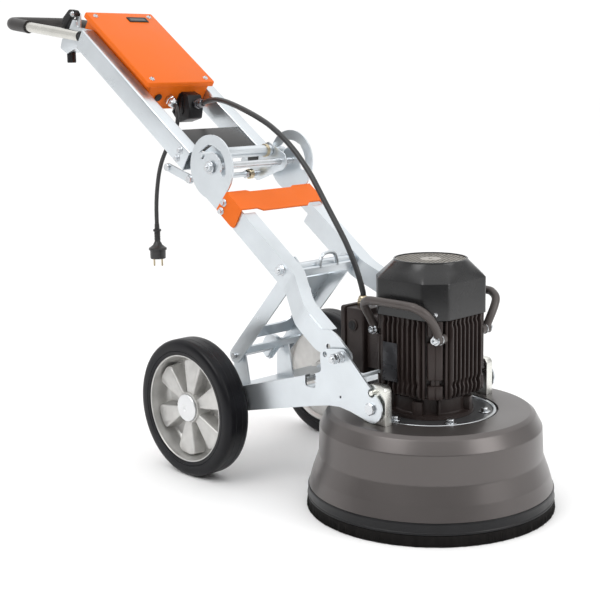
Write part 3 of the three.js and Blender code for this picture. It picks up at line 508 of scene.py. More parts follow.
# ---- camera ----
def look(azimuth, elevation, roll, position, focal, shift):
    """Camera at a position (millimetres), turned by azimuth, elevation and roll in degrees."""
    a, e, r = (math.radians(v) for v in (azimuth, elevation, roll))
    back = Vector((math.sin(a) * math.cos(e), -math.cos(a) * math.cos(e), math.sin(e)))
    right = Vector((math.cos(a), math.sin(a), 0))
    up = back.cross(right)
    turned_right = math.cos(r) * right + math.sin(r) * up
    turned_up = math.cos(r) * up - math.sin(r) * right
    camera = bpy.data.objects.new("camera", bpy.data.cameras.new("camera"))
    camera.matrix_world = Matrix((
        (turned_right.x, turned_up.x, back.x, 0), (turned_right.y, turned_up.y, back.y, 0),
        (turned_right.z, turned_up.z, back.z, 0), (0, 0, 0, 1),
    ))
    camera.location = point(BASE, *position)
    camera.data.lens = focal
    camera.data.shift_x, camera.data.shift_y = shift
    bpy.context.scene.collection.objects.link(camera)
    bpy.context.scene.camera = camera


look(45.24, 10.14, -0.81, (1508.1, -1815.8, 859.1), 72.98, (-0.0244, -0.0181))


# ---- cords ----
POWER_ROUTE = [
    (-760.3, -18, 786.2), (-753.2, -18.5, 780.6), (-748.5, -19.5, 770.5), (-747, -21, 758),
    (-749, -22.5, 742), (-755.5, -24, 724), (-766, -26, 707), (-779, -28, 690), (-792, -29, 672),
    (-804, -30, 650), (-814, -30, 626), (-821, -30, 600), (-826, -30, 574), (-829, -30, 548),
    (-830, -30, 524), (-830, -30, 504),
]
MOTOR_ROUTE = [
    (-712, 30, 791.1), (-692, 29.5, 795.8), (-664, 27, 798.6), (-630, 22.5, 795.4), (-596, 18, 788.5),
    (-560, 13.5, 779.5), (-526, 9, 770), (-494, 5.5, 759.5), (-463, 2.5, 747.5), (-434, 0, 733),
    (-409, -1.5, 718), (-387, -2.5, 702.5), (-366, -3, 685), (-346, -4, 666), (-326, -4.5, 645),
    (-306, -5.5, 620.5), (-286, -6, 594), (-264, -6.5, 565.5), (-242, -7.5, 537.5), (-222, -8, 510.5),
    (-205, -8.5, 483.5), (-190, -9, 456), (-179.5, -9, 431), (-174, -9, 415), (-172.2, -9, 409),
    (-172, -9, 404),
]


def cable(name, path, diameter, body=None):
    """Round cable along a fine path in metres; with no body it is left loose."""
    return piece(name, rod(path, diameter / 2, up=Vector((0, 1, 0))), CABLE, body, Matrix.Identity(4))


POWER_D, MOTOR_D = 0.010, 0.012
power_path = [point(BASE, *p) for p in smooth_path(POWER_ROUTE, 6)]
power = cable("power_lead", power_path, POWER_D, "handle")
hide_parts("power_cord")
PLUG_RIB = ((7.6, 0), (7.6, 2), (6.7, 2.4), (6.7, 3.6))
plug_rows = [
    (0, 503.5), (5.6, 503.5), (6.2, 491), (9.4, 490), (10, 488), (9.6, 485), (7, 483.5),
    *[(r, 481 - 4 * k - drop) for k in range(5) for r, drop in PLUG_RIB],
    (8.6, 458), (11.5, 452), (17, 447.5), (21, 445), (22, 442.5), (21.6, 440), (19, 439), (18.6, 420),
    (17.6, 418.6), (0, 418.6),
]
plug_place = shifted(-830, -30, 0, BASE)
plug = piece("mains_plug", lathe(plug_rows, 40), CABLE, "handle", plug_place, stands_for=["power_plug"])
pins = [lathe([(0, 419), (2.3, 419), (2.3, 402), (1.5, 400), (0, 399.6)], 20) for _ in (-1, 1)]
pins = joined(*zip(pins, [shifted(6.7 * side, 6.7 * side, 0) for side in (-1, 1)]))
pins = piece("mains_plug_pins", pins, BRASS, "handle", plug_place)

# The motor's cable crosses three joints, so it is three lengths, one across each of them.
motor_path = [point(BASE, *p) for p in smooth_path(MOTOR_ROUTE, 6)]
MOTOR_LENGTHS = [
    ("motor_lead_upper", 0, 90, "handle", "mast", (-664, 27, 798.6), (-434, 0, 733)),
    ("motor_lead_middle", 90, 108, "mast", "chassis", (-300, -6, 612), (-248, -7, 545)),
    ("motor_lead_lower", 108, len(motor_path) - 1, "chassis", "head", (-236, -8, 530), (-177, -9, 424)),
]
for name, first, last, near, far, start, end in MOTOR_LENGTHS:
    run = motor_path[first:last + 1]
    lead = cable(name, run, MOTOR_D)
    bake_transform(lead)
    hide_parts("motor_cable")


# ---- wheels ----
def tyre():
    half = [
        (117, 28), (120, 29), (124.2, 29.3), (125.2, 28.5), (126.2, 29.7), (132, 30), (139, 29.9),
        (144.5, 28.2), (148, 25), (149.6, 21), (150, 17), (150, 9), (149.4, 8.4), (150, 7.8),
    ]
    return lathe([*half, *[(r, -z) for r, z in reversed(half)]], 144)


SPOKES = 6


def pad_ring(grow, z):
    """Outline of a wedge-shaped spoke, larger lower down."""
    half = [(24, 8 + grow, 2), (38, 10.5 + grow, 3), (100 + 0.4 * grow, 26.5 + grow, 8),
            (106 + 0.4 * grow, 12, 12)]
    outline = rounded([*[(x, -y, r) for x, y, r in half], *reversed(half)], 4)
    return [Vector((*p, z)) for p in outline]


def rim():
    barrel = lathe([
        (117, 27), (116.4, 27.6), (114.6, 27.6), (113.8, 26.8), (112.4, 16), (109, 6), (107.5, -8), (104, -14),
        (99, -17), (37, -17), (35.5, -14), (33.6, 15.5), (32.6, 17.2), (30.8, 17.6), (30.2, 16.6), (12.5, 16.6),
        (12.5, -28), (28, -28), (32, -21), (100, -21), (108, -19), (113, -26.4), (114, -27.4), (116, -27.4),
        (117, -27),
    ], 120)
    parts = [barrel]
    for i in range(SPOKES):
        rows = [(5, -18), (1.4, 10), (0.4, 12), (-0.6, 13), (-2, 13.4)]
        parts.append((loft([pad_ring(grow, z) for grow, z in rows]), turned(360 / SPOKES * i)))
    return joined(*parts)


def hub_cap():
    rows = [(29.6, 17), (29.8, 20.4), (28.6, 21.8), (20, 23), (7, 23.8), (6.2, 23.2), (3.4, 23.3)]
    return lathe([(0, 17), *rows, (3, 22.4), (0, 22.4)], 64)


for name, side in SIDES.items():
    place = shifted(-488, 209.5 * side, 150, BASE) @ turned(-90 * side, "X")
    body = f"wheel_{name}"
    piece(f"wheel_tyre_{name}", tyre(), TYRE, body, place, stands_for=[f"tyre_{name}"])
    piece(f"wheel_rim_{name}", rim(), CAST, body, place @ turned(-22 * side), stands_for=[f"rim_{name}"])
    piece(f"hub_cap_{name}", hub_cap(), CAP_STEEL, body, place)


# ---- grinding head ----
def polar(angle, radius, z=0):
    return Vector((radius * math.cos(angle), radius * math.sin(angle), z))


def ring_points(radius_at, z):
    angles = [math.pi * i / 128 for i in range(256)]
    return [polar(a, radius_at(a), z) for a in angles]


def shroud():
    profile = rounded([
        (134.5, 197, 1), (199, 197, 5), (208, 190.5, 8), (221.5, 165.5, 7), (224, 108, 16), (236.5, 73, 30),
        (244.2, 45.2), (240.2, 45.2), (232.6, 73, 30), (220.4, 108, 16), (217.8, 164, 8), (205, 187, 8),
        (197, 193, 5), (134.5, 193, 1),
    ], 6)
    return lathe(profile, 192)


def bristles():
    """Brush skirt: a solid core with rows of separate bristle tufts leaning slightly outwards."""
    count, half = 1000, 0.5
    bm = lathe([(242, 2.5), (245.6, 1.2), (247.3, 1.0), (246.2, 21.6), (242, 21.6)], 160)
    draw = random.Random(7)
    for i in range(count):
        a = 2 * math.pi * (i + draw.uniform(-0.3, 0.3)) / count
        lean = draw.uniform(-0.0035, 0.0035)
        tip, root = 248.3 + draw.uniform(-0.8, 1.1), 246.6
        low = draw.uniform(0.2, 1.0)
        rows = []
        for r, turn, z, w in ((root, a, 21.2, half), (tip, a + lean, low, half * 0.8)):
            centre, along = polar(turn, r, z), polar(turn + math.pi / 2, w)
            corners = (centre + along, centre - along, centre - polar(turn, 1.2))
            rows.append([bm.verts.new(corner) for corner in corners])
        top, bottom = rows
        for k in range(3):
            bm.faces.new((top[k], top[(k + 1) % 3], bottom[(k + 1) % 3], bottom[k]))
        bm.faces.new(top[::-1])
        bm.faces.new(bottom)
    bmesh.ops.recalc_face_normals(bm, faces=bm.faces)
    return bm


piece("bell_shroud", shroud(), SHROUD, "head", stands_for=["shroud"])
piece("bristle_skirt", bristles(), BRISTLE, "head", stands_for=["brush_ring"])
BAND = [
    (241, 22.2), (246.2, 22.2), (247.4, 23.2), (247.5, 25), (246.9, 26.2), (246.3, 27), (246.4, 31),
    (245.7, 38.5), (246.2, 40), (246.1, 42.5), (245.2, 44.6), (241, 44.6),
]
piece("clamp_band", lathe(BAND, 192), BLACK, "head", stands_for=["skirt_band"])

GEAR_ROWS = [
    (16.5, 150), (110, 150), (110, 186), (126.6, 186), (126.6, 193), (73, 193), (73, 200.2), (16.5, 200.2),
]
piece("gear_plate", lathe(GEAR_ROWS), GEAR_GREY, "head", stands_for=["gear_housing"])
piece("gear_rim", ring(124.6, 130.6, 186, 196.4, 0.9, 128), STEEL, "head")
piece("gear_seal", lathe([(130.8, 187), (134, 187), (134, 192), (130.8, 192)], 128), RUBBER, "head")
angles = [math.radians(30.6 + 60 * k) for k in range(6)]
bolts = [(bolt(13, 6.5, 12, 1.8), shifted(*polar(a, 108, 193.1))) for a in angles]
piece("gear_bolts", joined(*bolts), STEEL, "head", edge=0.3)

# ---- motor ----
FIN_PITCH, FIN_TOP, FIN_FOOT = 12.5, 392, 236


def fin(reach):
    """Cooling fin in the X-Z plane; its outer edge is drawn in near both ends."""
    outline = rounded([
        (62, FIN_FOOT), (reach - 7, FIN_FOOT, 4), (reach - 2, FIN_FOOT + 10, 5),
        (reach - 1, FIN_FOOT + 20, 5), (reach - 4, FIN_FOOT + 28, 5), (reach, FIN_FOOT + 38, 5),
        (reach, FIN_TOP - 16, 5), (reach - 3, FIN_TOP - 8, 4), (reach - 1, FIN_TOP), (62, FIN_TOP),
    ], 3)
    return plate("xz", -2.1, 2.1, outline, edge=1.3)


def corner_post():
    parts = []
    for low, high, half in ((238, 265, 14.5), (277, 349, 14.5), (361, 391.5, 14.5), (240, 390, 9)):
        reach = 103.8 if half > 10 else 99.5
        outline = rounded([(70, -half), (reach, -half, 4), (reach, -1.4, 0.6), (reach - 1.6, 0, 0.6),
                           (reach, 1.4, 0.6), (reach, half, 4), (70, half)], 3)
        parts.append(plate("xy", low, high, outline, edge=1.6))
    for side in (-1, 1):
        outline = rounded([(70, -3), (98, -3, 2.5), (98, 3, 2.5), (70, 3)], 3)
        parts.append((plate("xy", 238, 391.5, outline, edge=1.6), shifted(0, 21.5 * side, 0)))
    return joined(*parts)


def motor():
    parts = [lathe([
        (62, 392.4), (84, 392.4), (85, 391), (85, 238), (80, 234), (72, 232), (72, 204), (74, 202),
        (86, 201), (86, 193.4), (74, 193.4), (74, 201), (20, 201), (20, 235), (62, 246),
    ])]
    for face in range(4):
        for k in range(8):
            y = (k - 3.5) * FIN_PITCH
            if face == 2 and abs(y) < 38:
                continue
            parts.append((fin(92.3 if abs(y) < 40 else 93.3), shifted(0, y, 0, turned(90 * face))))
        parts.append((corner_post(), turned(90 * face + 45)))
        parts.append((block((62, -10, 193.4), (84, 10, 228), 2), turned(90 * face + 22)))
        parts.append((block((60, -2, 193.4), (84, 2, 232), 1), turned(90 * face + 52)))
    return joined(*parts)


piece("motor_housing", motor(), MOTOR, "head", stands_for=["motor_body"])
rating = joined(block((-42, -94.6, 264), (-5, -93, 341), 0.5), *[
    (pan_screw(1.8, 1), facing((0, -1, 0), (x, -94.5, z))) for x in (-38, -9) for z in (268, 337)])
piece("rating_plate", rating, LABEL, "head")


CRISP = 90


def cowl_radius(face=92.2, corner=105.6):
    """Polar radius of an eight-sided cowl; a higher CRISP gives sharper corners."""
    def at(angle):
        off = abs((angle + math.pi / 4) % (math.pi / 2) - math.pi / 4)
        flat, cut = face / math.cos(off), corner / math.cos(math.pi / 4 - off)
        return face * ((flat / face)**-CRISP + (cut / face)**-CRISP) ** (-1 / CRISP)
    return at


def cowl():
    outer = cowl_radius()
    inner = cowl_radius(89.2, 102.6)
    top = 72.5
    rows = [ring_points(outer, z) for z in (393.2, 394, 462)]
    for f in (0.02, 0.5, 0.97):
        rows.append(ring_points(lambda a, f=f: outer(a) * (1 - f) + top * f, 463 + 33 * f))
    for grow, z in ((0.2, 496.6), (0.2, 498.2), (-0.5, 498.8), (-2.6, 498.8), (-3.2, 498.2), (-3.2, 492)):
        rows.append(ring_points(lambda a, r=top + grow: r, z))
    return loft([*rows, ring_points(inner, 460), ring_points(inner, 393.2)], cap=False)


piece("fan_hood", cowl(), COWL, "head", stands_for=["fan_cowl"])


def mesh_guard():
    """Woven guard over the air inlet: crossing bars inside a rim, round a plain middle."""
    radius, pitch, wire = 69.2, 8.4, 1.9
    parts = [ring(radius - 2.4, radius, 493, 496.4, 0.5, 72), disc(21, 494.2, 496.8, 0.6, 48),
             disc(4, 496.5, 498, 0.6)]
    count = int((radius - 1.2) / pitch)
    for angle, z in ((20, 494.2), (110, 495.1)):
        for y in [k * pitch for k in range(-count, count + 1)]:
            reach = math.sqrt((radius - 1.2)**2 - y * y)
            bar = block((-reach, y - wire / 2, z), (reach, y + wire / 2, z + 1.2), 0.3)
            parts.append((bar, turned(angle)))
    return joined(*parts)


piece("inlet_guard", mesh_guard(), GUARD, "head", stands_for=["air_grille"])

corners = [math.radians(45 + 90 * k) for k in range(4)]
screws = [(pan_screw(4.6, 3), facing(polar(a, 1), polar(a, 105.1, 405))) for a in corners]
piece("cowl_screws", joined(*screws), STEEL, "head")

# ---- terminal box ----
box_outline = rounded([(-187, -46, 5), (-187, 46, 5), (-138, 46, 5), (-138, -46, 5)])
neck = rounded([(-141, -34), (-86, -34), (-86, 34), (-141, 34)])
parts = [plate("xy", 250, 383, box_outline, edge=3), plate("xy", 262, 371, neck, edge=1)]
parts.append((disc(12.5, 0, 3.2, 1), across(-166, 348, -1, 46)))
piece("wiring_box", joined(*parts), MOTOR, "head", stands_for=["terminal_box"])
lid = plate("yz", -199, -187.3, rounded([(-49, 247, 6), (49, 247, 6), (49, 386, 6), (-49, 386, 6)]), edge=2.2)
piece("wiring_box_lid", lid, MOTOR, "head", stands_for=["terminal_lid"])
plug = joined(disc(9.4, 0, 1.4), block((-1.2, -5, 1.3), (1.2, 5, 1.9), 0.2))
piece("blank_plug", plug, BLACK, "head", BASE @ across(-166, 348, -1, 49.2))
screws = [(socket_screw(3.4, 3), facing((-1, 0, 0), (-199, y, z))) for y in (-41, 41) for z in (255, 378)]
piece("wiring_lid_screws", joined(*screws), STEEL, "head")


def cable_gland(nut, length, hole):
    """Hexagonal gland body and its domed clamping nut along +Z."""
    dome = lathe([(nut * 0.46, length * 0.4), (nut * 0.47, length * 0.72), (nut * 0.42, length * 0.9),
                  (hole + 1.2, length), (hole, length - 0.6), (hole, length * 0.4)], 40)
    return joined(hex_head(nut, length * 0.42), dome, hex_head(nut * 0.96, length * 0.3, length * 0.42))


piece("box_gland", cable_gland(22, 20, 6.4), BRASS, "head", shifted(-172, -9, 383.2, BASE), 0.3,
      ["motor_gland"])


# ---- lifting handles ----
LIFT_EYE = (80, 357)


def lift_handle(side):
    """Bent tube that swells outwards from its two flattened ends on the motor's corner posts."""
    x, z = LIFT_EYE
    half = [(x, 73, z), (x + 2, 78, z + 12), (x + 3, 87, z + 27), (x + 2, 98, z + 42), (x - 3, 109, z + 55),
            (x - 16, 116, z + 63.5), (x - 36, 118.5, z + 67)]
    rear = [(-a, side * b, c) for a, b, c in half]
    front = [(a, side * b, c) for a, b, c in reversed(half)]
    bosses = [(disc(9.4, 55, 80, 1.5, 32), across(end * x, z, side)) for end in (-1, 1)]
    return joined(rod(smooth_path([*rear, *front], 7), 8.3), *bosses)


for name, side in SIDES.items():
    piece(f"lift_bar_{name}", lift_handle(side), BAR_PAINT, "head", stands_for=[f"lift_handle_{name}"])
    eyes = [across(end * LIFT_EYE[0], LIFT_EYE[1], side, 80.1) for end in (-1, 1)]
    screws = [(joined(socket_screw(7, 7, 9.8), ring(4.2, 10.5, -12.6, -10.6)), eye) for eye in eyes]
    piece(f"lift_bar_screws_{name}", joined(*screws), STEEL, "head")


# ---- chassis and mast fittings ----
def cross_rod(rows, x, z):
    """Turned bar lying across the machine; rows are (radius, distance from the middle)."""
    profile = [(0, -rows[-1][1]), *[(r, -d) for r, d in reversed(rows)], *rows, (0, rows[-1][1])]
    return joined((lathe(profile, 36), across(x, z)))


FOLD_AXIS = (-513, 659)
FOLD_MAST, FOLD_HANDLE = within(MAST, *FOLD_AXIS), within(HANDLE, *FOLD_AXIS)
BAR_MAST = within(MAST, *CROSSBAR)
STOP_PIN = (2, 260)
ROD_TURN = math.radians(4.8)
ROD_AT = (FOLD_HANDLE[0] - 39.5 * math.cos(ROD_TURN), FOLD_HANDLE[1] + 39.5 * math.sin(ROD_TURN))

piece("axle_tube", ring(11, 14, -171.2, 171.2, 0.6), ZINC, "chassis", BASE @ across(-258, 200))
piece("crossbar_tube", cross_rod([(10, 85.7), (6, 85.8), (6, 130)], *BAR_MAST), ZINC, "mast", MAST,
      stands_for=["crossbar"])
for name, side in SIDES.items():
    nut = joined(ring(6, 12, 0, 1.8), hex_head(17, 9, 1.8), disc(5.6, 9, 13.5, 1))
    piece(f"crossbar_nut_{name}", nut, STEEL, "mast", MAST @ across(*BAR_MAST, side, 121.1))
    stud = joined(disc(5.8, -24, 28.5, 1), ring(6, 11.5, 0.3, 2.3), hex_head(18, 8.5, 2.3),
                  ring(6, 10.5, 15, 16.6), hex_head(17, 8, 16.6), disc(10, -23.5, -14.2, 0.8))
    piece(f"mast_pivot_bolt_{name}", stud, STEEL, "chassis", BASE @ across(-78, 317, side, 175.7),
          stands_for=[f"mast_bolt_{name}"])
    head = lathe([(0, 0.2), (12, 0.2), (12.6, 1), (12.6, 4), (10.8, 5.8), (0, 6.2)], 8)
    piece(f"tilt_pin_{name}", joined(disc(8, -34.5, 0, 0.8), head), STEEL, "chassis",
          BASE @ across(0, 229, side, 175.7), stands_for=[f"head_pin_{name}"])
    outline = rounded([(-28, 197.3), (28.5, 197.3), (28.5, 266, 16), (22, 274, 14), (-14, 274, 16),
                       (-28, 256, 14)], 8)
    lug = joined(plate("xz", 147 * side, 166 * side, outline, edge=1.4),
                 (disc(4.8, 0, 12.5, 0.8), across(*STOP_PIN, side, 165)))
    piece(f"tilt_lug_{name}", lug, LUG, "head", stands_for=[f"head_lug_{name}"])
    pivot = joined(bolt(16, 8, 14, 2.2), disc(5, 9, 12.6, 1))
    piece(f"fold_bolt_{name}", pivot, STEEL, "mast", MAST @ across(*FOLD_MAST, side, 125.4))
    flange = [(bolt(10, 6, 8.5, 1.5), across(x, z, side, 124.6)) for x, z in ((-474, -15), (-471, -36))]
    piece(f"cross_plate_bolts_{name}", joined(*flange), STEEL, "mast", MAST)

piece("fold_rod", cross_rod([(8, 124), (12.6, 124.2), (13, 125.4)], *FOLD_MAST), STEEL, "mast", MAST,
      stands_for=["fold_pivot_rod"])
outline = [polar(math.radians(a), 30) for a in range(-24, 205, 12)]
bearing = joined(plate("xz", 30, 42, outline, [circle(x, 2, 2.8, 16) for x in (-20, 20)], edge=0.8),
                 (disc(3.2, 0, 1.6, 0.5), across(0, 0, -1, -30)), block((-22, 20, -11), (22, 31, 6), 1))
piece("strut_bearing", bearing, ZINC, "strut", STRUT)

# ---- handle ----
LEVER_AXIS = (505, -54)
for name, side in SIDES.items():
    low, high = sorted((86 * side, 121 * side))
    skins = []
    for wall, r in ((0, 5), (3, 2.4)):
        y0, y1, z0, z1 = low + wall, high - wall, wall - 51, -wall
        skins.append(rounded([(y0, z0, r), (y1, z0, r), (y1, z1, r), (y0, z1, r)]))
    piece(f"rail_{name}", plate("yz", 0, 477, skins[0], skins[1:], 0.5), ZINC, "handle", HANDLE,
          stands_for=[f"handle_rail_{name}"])
    bolts = [(bolt(10, 6, 9, 1.6), across(449, z, side, 121)) for z in (-16, -38)]
    piece(f"rail_bolts_{name}", joined(*bolts), STEEL, "handle", HANDLE)
    nut = joined(ring(6.5, 10, 0, 1.5), hex_head(15, 6, 1.5))
    ends = [(nut, across(*LEVER_AXIS, side, 116.1)), (disc(8.4, 0, 5, 1), across(428, -80, side, 116.1))]
    piece(f"lever_nut_{name}", joined(*ends), STEEL, "release_lever", HANDLE)

# Folding cradle: a painted panel with side flanges, and plated cheeks round the fold axis.
flange = rounded([(452, -5), (452, -28, 6), (468, -49, 4), (487, -49, 4), (494, -24, 6), (486, -5, 3)])
flanges = [plate("xz", side * 80.6, side * 84.4, flange, edge=0.5) for side in (-1, 1)]
piece("cradle_panel", joined(block((392, -84, -8), (468, 84, -4), 0.6), *flanges), COWL, "handle", HANDLE,
      stands_for=["cradle"])
rod_x, rod_z = ROD_AT
fold_x, fold_z = FOLD_HANDLE
cheek = rounded([
    (482, -46, 3), (492, -67, 8), (518, -66, 12), (fold_x + 8, fold_z - 22, 12), (fold_x + 26, fold_z, 20),
    (fold_x + 8, fold_z + 26, 16), (rod_x + 8, rod_z + 16, 10), (rod_x - 16, rod_z + 12, 8), (478, -4, 4),
], 8)
for name, side in SIDES.items():
    shape = plate("xz", side * 81, side * 84.2, cheek, edge=0.6)
    piece(f"cradle_cheek_{name}", shape, ZINC, "handle", HANDLE, stands_for=["cradle"])
lever_place, rod_place = HANDLE @ across(*LEVER_AXIS), HANDLE @ across(*ROD_AT)
piece("lever_bush", ring(6.3, 11.5, 56, 68, 1), BRASS, "handle", lever_place)
piece("lever_collar", hex_head(17, 9, 46), STEEL, "release_lever", lever_place)

rows = [(12.5, 79.4), (10.4, 79.7), (6.5, 79.8), (6.5, 124)]
piece("lock_bar", cross_rod(rows, *ROD_AT), ZINC, "handle", HANDLE, stands_for=["lock_rod"])
piece("lock_bar_bush", ring(12.6, 14.8, 62, 70, 0.8), BRASS, "handle", rod_place)

LID_ROWS = [(3, 22.8), (3, 13.3), (0.8, 13), (0, 13.8), (0, 22.8), (0.5, 24.4), (1.6, 25.6), (3.2, 26)]
piece("lid", tray((-39, -99), (255, 99), 5, LID_ROWS), ORANGE, "handle", HANDLE, stands_for=["box_lid"])
places = [shifted(x, y, 26) for x in (-20.7, 239) for y in (-79.3, 79.3)]
screws = [(joined(disc(6.4, 0, 1, 0.3), (pan_screw(5, 3.4), shifted(0, 0, 1))), place) for place in places]
piece("lid_screws", joined(*screws), STEEL, "handle", HANDLE)
piece("lid_seal", tray((-35, -86), (251, 86), 3, [(1.4, 12.75), (1.4, 13.6)]), BLACK, "handle", HANDLE)
METER_ROWS = [(0, 22), (0, 27.3), (0.7, 28), (3.2, 28), (3.8, 27.2)]
piece("meter_frame", tray((-17.7, 8.3), (1.7, 65.7), 1.5, METER_ROWS), BLACK, "handle", HANDLE,
      stands_for=["hour_meter"])
WINDOW_ROWS = [(0, 26.5), (0, 27.4), (0.4, 27.7)]
piece("meter_window", tray((-13.4, 14), (-2.6, 60), 1, WINDOW_ROWS), GLASS, "handle", HANDLE)
FORWARD, BACKWARD = turned(90, "Y"), turned(-90, "Y")
piece("power_gland_nuts", cable_gland(24, 24, 5.3), STEEL, "handle",
      shifted(252.2, -18, -22, HANDLE) @ FORWARD, 0.3, ["power_gland"])
piece("box_blank_plug", disc(9.5, 0, 4, 1), BLACK, "handle", shifted(252.1, -54, -16, HANDLE) @ FORWARD)


def connector():
    """Plug hood of the motor lead with its side latch and ribs."""
    outline = rounded([(252.3, -2, 2), (252.3, -64, 2), (282, -70, 6), (308, -40, 6), (298, -16, 3),
                       (276, 4, 4)])
    parts = [plate("xz", 9, 51, outline, edge=2)]
    latch = rounded([(258, -8, 2), (266, -8, 3), (272, -26, 4), (285, -34, 3), (285, -46, 3), (277, -46, 3),
                     (277, -39, 3), (264, -31, 4), (258, -14, 2)])
    for low, high in ((6.4, 9.4), (50.6, 53.4)):
        parts.append(plate("xz", low, high, latch, edge=0.8))
    for k in range(4):
        rib = rounded([(257 + 4 * k, -52), (259 + 4 * k, -52), (264 + 4 * k, -64), (262 + 4 * k, -64)])
        parts.append(plate("xz", 7.4, 9.4, rib, edge=0.3))
    parts.append(block((252.3, 5, -60), (258, 55, -6), 1))
    return joined(*parts)


piece("lead_connector", connector(), BLACK, "handle", HANDLE, stands_for=["motor_connector"])
lead_place = shifted(290, 30, -12.5, HANDLE) @ turned(90 - 43.2, "Y")
piece("lead_gland", cable_gland(21, 26, 6.6), GUNMETAL, "handle", shifted(0, 0, 4, lead_place), 0.3)

# Operator's controls on the box's rear face, each on its own body: (piece, node, material, y, hole, profile).
CONTROLS = [
    ("stop_mushroom", "emergency_stop", RED, 7, 9.8,
     [(9, -8), (9, 17), (15, 17.6), (17, 20), (16.6, 23), (13.5, 26), (7, 27), (0, 27.2)]),
    ("start_cap", "start_button", GREEN, -30, 6.8,
     [(6, -8), (6, 5), (8.4, 5.2), (9, 6.4), (9, 12.8), (8.2, 13.8), (0, 14)]),
    ("speed_dial", "speed_knob", BLACK, 46, 5.8,
     [(5, -8), (5, 11), (12.4, 11), (13, 12), (12.4, 19), (11.4, 20), (0, 20)]),
]
collars = []
for name, node, material, y, hole, profile in CONTROLS:
    place = shifted(-36, y, -6, HANDLE) @ BACKWARD
    piece(name, lathe([(0, -8), *profile], 48), material, node, place, stands_for=[node])
    collars.append((ring(hole, hole + 4, 0.2, 0.9, 0.2), shifted(0, y, 0)))
piece("dial_mark", block((-0.9, 2, 19.9), (0.9, 11.4, 20.5), 0.2), ZINC, "speed_knob", place)
piece("control_collars", joined(*collars), STEEL, "handle", shifted(-36, 0, -6, HANDLE) @ BACKWARD)

# ---- handlebar ----
def bar(start, r):
    """Bent tube of the handlebar from a distance along its two sides, round its far end."""
    return rod(bend([(start, -104, 0), (-319, -104, 0), (-319, 104, 0), (start, 104, 0)], [45, 45], 10), r, 32)


pegs = [(disc(5, 84, 105, 0.6), across(0, 0, side)) for side in (-1, 1)]
piece("bar_tube", joined(bar(14, 12.5), *pegs), BAR_STEEL, "handlebar", BAR, stands_for=["handlebar"])
ends = [(ring(12.7, 16.3, 0, 4, 1), facing((1, 0, 0), (-216, y, 0))) for y in (-104, 104)]
piece("bar_grip", joined(bar(-212, 15.8), *ends), RUBBER, "handlebar", BAR, stands_for=["hand_grip"])
BRACKET_FOOT = [(-974.6, 964, 2), (-1003.8, 922.5, 3), (-1043, 926, 8), (-1088, 911, 5), (-1117, 925, 5),
                (-1108, 946, 4)]
side_shape = rounded([*BRACKET_FOOT, (-1092, 966, 7), (-1044, 973, 9)])
near_shape = rounded([*BRACKET_FOOT, (-1078, 966, 6), (-1058, 992, 5), (-1042, 990, 5), (-1040, 973, 9)])
channel = rounded([(-1114, 926, 4), (-1088, 913, 4), (-1052, 925, 4), (-1062, 948, 4), (-1106, 944, 4)])
ear = rounded([(-1076, 940), (-1056, 940), (-1051, 1010, 6), (-1073, 1010, 6)])
bracket = joined(plate("xz", -90, -86, near_shape, edge=0.9), plate("xz", 86, 90, side_shape, edge=0.9),
                 plate("xz", -86, 86, channel, edge=1.2), plate("xz", -70.5, -67.5, ear, edge=0.5),
                 (disc(3, -85.7, -66.5, 0.3), across(-1062, 1006, 1)))
piece("bar_bracket", bracket, ZINC, "handle", stands_for=["handle_bracket"])
lever = rounded([(-1053, 1001, 4), (-1072, 999, 6), (-1096, 977, 6), (-1113, 950, 3), (-1126, 954, 4),
                 (-1108, 998, 14), (-1078, 1018, 12), (-1053, 1014, 6)])
places = [shifted(-1110 + 5.5 * k, 0, 986 + 5.4 * k) @ turned(-50 + 4 * k, "Y") for k in range(5)]
grips = [(block((-1.6, -85.9, -3.2), (1.6, -71, 1.4), 0.8), place) for place in places]
piece("cam_lever", joined(plate("xz", -85.5, -71.5, lever, edge=1.6), *grips), BLACK, "clamp_lever",
      stands_for=["clamp_lever"])
tight = [(bolt(10, 5, 8.5, 1.4), across(-1022, 952.2, side, 90.2)) for side in (-1, 1)]
tight.append((socket_screw(5, 4, 7), across(-1062, 1006, -1, 85.7)))
piece("bracket_bolts", joined(*tight), STEEL, "handle")
foot = lathe([(0, 889), (9.5, 889), (11, 890.5), (11, 914), (0, 914)], 32)
piece("rest_foot", foot, BLACK, "handle", shifted(-1093, -74, 0, BASE))

# ---- plates and tubes that stay ----
for name in SIDES:
    keep(f"side_plate_{name}", ZINC, 0.7)
    keep(f"index_plate_{name}", ZINC, 0.7)
    keep(f"mast_tube_{name}", ZINC, 1.6)
for node in ("rear_deck", "strut", "release_lever"):
    keep(node, ZINC, 0.7)
for node in ("axle", "strut_pin", "rotor_shaft"):
    keep(node, STEEL, 0.6)
keep("cross_plate", ORANGE, 1.0)
keep("control_box", ORANGE, 1.3)
for k in (1, 2, 3):
    keep(f"grinding_disc_{k}", SEGMENT, 0.6)
keep("planet_carrier", CAST, 0.6)

# ---- floor and light ----
def staged(name, **inputs):
    """Names the mesh made last and gives it a plain material."""
    obj = bpy.context.object
    obj.name = name
    material = bpy.data.materials.new(name)
    material.use_nodes = True
    for key, value in inputs.items():
        material.node_tree.nodes["Principled BSDF"].inputs[key.replace("_", " ")].default_value = value
    obj.data.materials.append(material)
    return obj


def floor():
    bpy.ops.mesh.primitive_circle_add(vertices=64, radius=40, fill_type="NGON")
    staged("floor", Base_Color=(0.96, 0.96, 0.96, 1), Roughness=0.85)


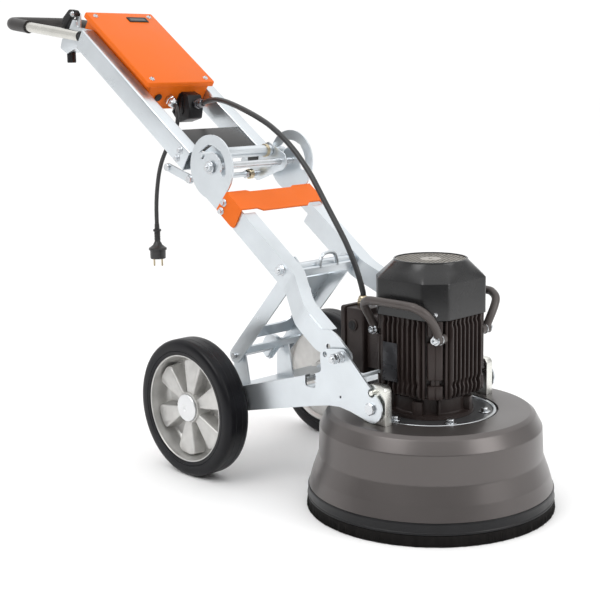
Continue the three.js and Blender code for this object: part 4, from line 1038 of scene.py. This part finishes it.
def backdrop():
    """White wall round the room, seen behind the object and left out of its light and reflections."""
    bpy.ops.mesh.primitive_cylinder_add(vertices=96, radius=38, depth=60, end_fill_type="NOTHING")
    wall = staged("backdrop", Base_Color=(0, 0, 0, 1), Emission_Color=(1, 1, 1, 1), Emission_Strength=1.02)
    wall.location.z = 29
    for kind in ("diffuse", "glossy", "transmission", "shadow"):
        setattr(wall, f"visible_{kind}", False)


def area_light(name, position, aim, size, power):
    lamp = bpy.data.objects.new(name, bpy.data.lights.new(name, "AREA"))
    lamp.data.size = size
    lamp.data.energy = power
    lamp.location = position
    lamp.rotation_euler = (Vector(aim) - Vector(position)).to_track_quat("-Z", "Y").to_euler()
    bpy.context.scene.collection.objects.link(lamp)


# The room's own dim light, and its bright patches: (direction, start, full, strength).
ROOM_DIM = 0.28
WORLD_PATCHES = [
    ((-0.710, 0.704, 0), 0.35, 0.8, 1.02),
    ((0, 0, 1), 0.35, 0.75, 1.32),
    ((-0.95, -0.3, 0.1), 0.75, 0.95, 0.9),
    ((0.75, 0.65, 0.1), 0.8, 0.96, 0.9),
]


def studio_world():
    """White backdrop and overhead softbox; the camera's side of the room is dim, for contrast."""
    world = bpy.data.worlds.new("studio")
    bpy.context.scene.world = world
    world.use_nodes = True
    tree = world.node_tree
    direction = tree.nodes.new("ShaderNodeTexCoord").outputs["Generated"]

    def glow(towards, start, full, strength):
        dot = tree.nodes.new("ShaderNodeVectorMath")
        dot.operation = "DOT_PRODUCT"
        tree.links.new(direction, dot.inputs[0])
        dot.inputs[1].default_value = towards
        ramp = tree.nodes.new("ShaderNodeMapRange")
        ramp.interpolation_type = "SMOOTHSTEP"
        tree.links.new(dot.outputs["Value"], ramp.inputs["Value"])
        set_range(ramp, start, full, ROOM_DIM, strength)
        return ramp.outputs["Result"]

    brightest = None
    for patch in WORLD_PATCHES:
        value = glow(*patch)
        if brightest:
            brighter = tree.nodes.new("ShaderNodeMath")
            brighter.operation = "MAXIMUM"
            tree.links.new(brightest, brighter.inputs[0])
            tree.links.new(value, brighter.inputs[1])
            value = brighter.outputs[0]
        brightest = value
    tree.links.new(brightest, tree.nodes["Background"].inputs["Strength"])
    tree.nodes["Background"].inputs["Color"].default_value = (1, 1, 1, 1)


floor()
backdrop()
studio_world()
area_light("key", (0.2, -3.0, 3.2), (0.2, 0, 0.4), 2.2, 45)
area_light("side", (3.4, 0.6, 1.8), (0.3, 0, 0.4), 1.6, 30)
bpy.context.scene.view_settings.view_transform = "Standard"
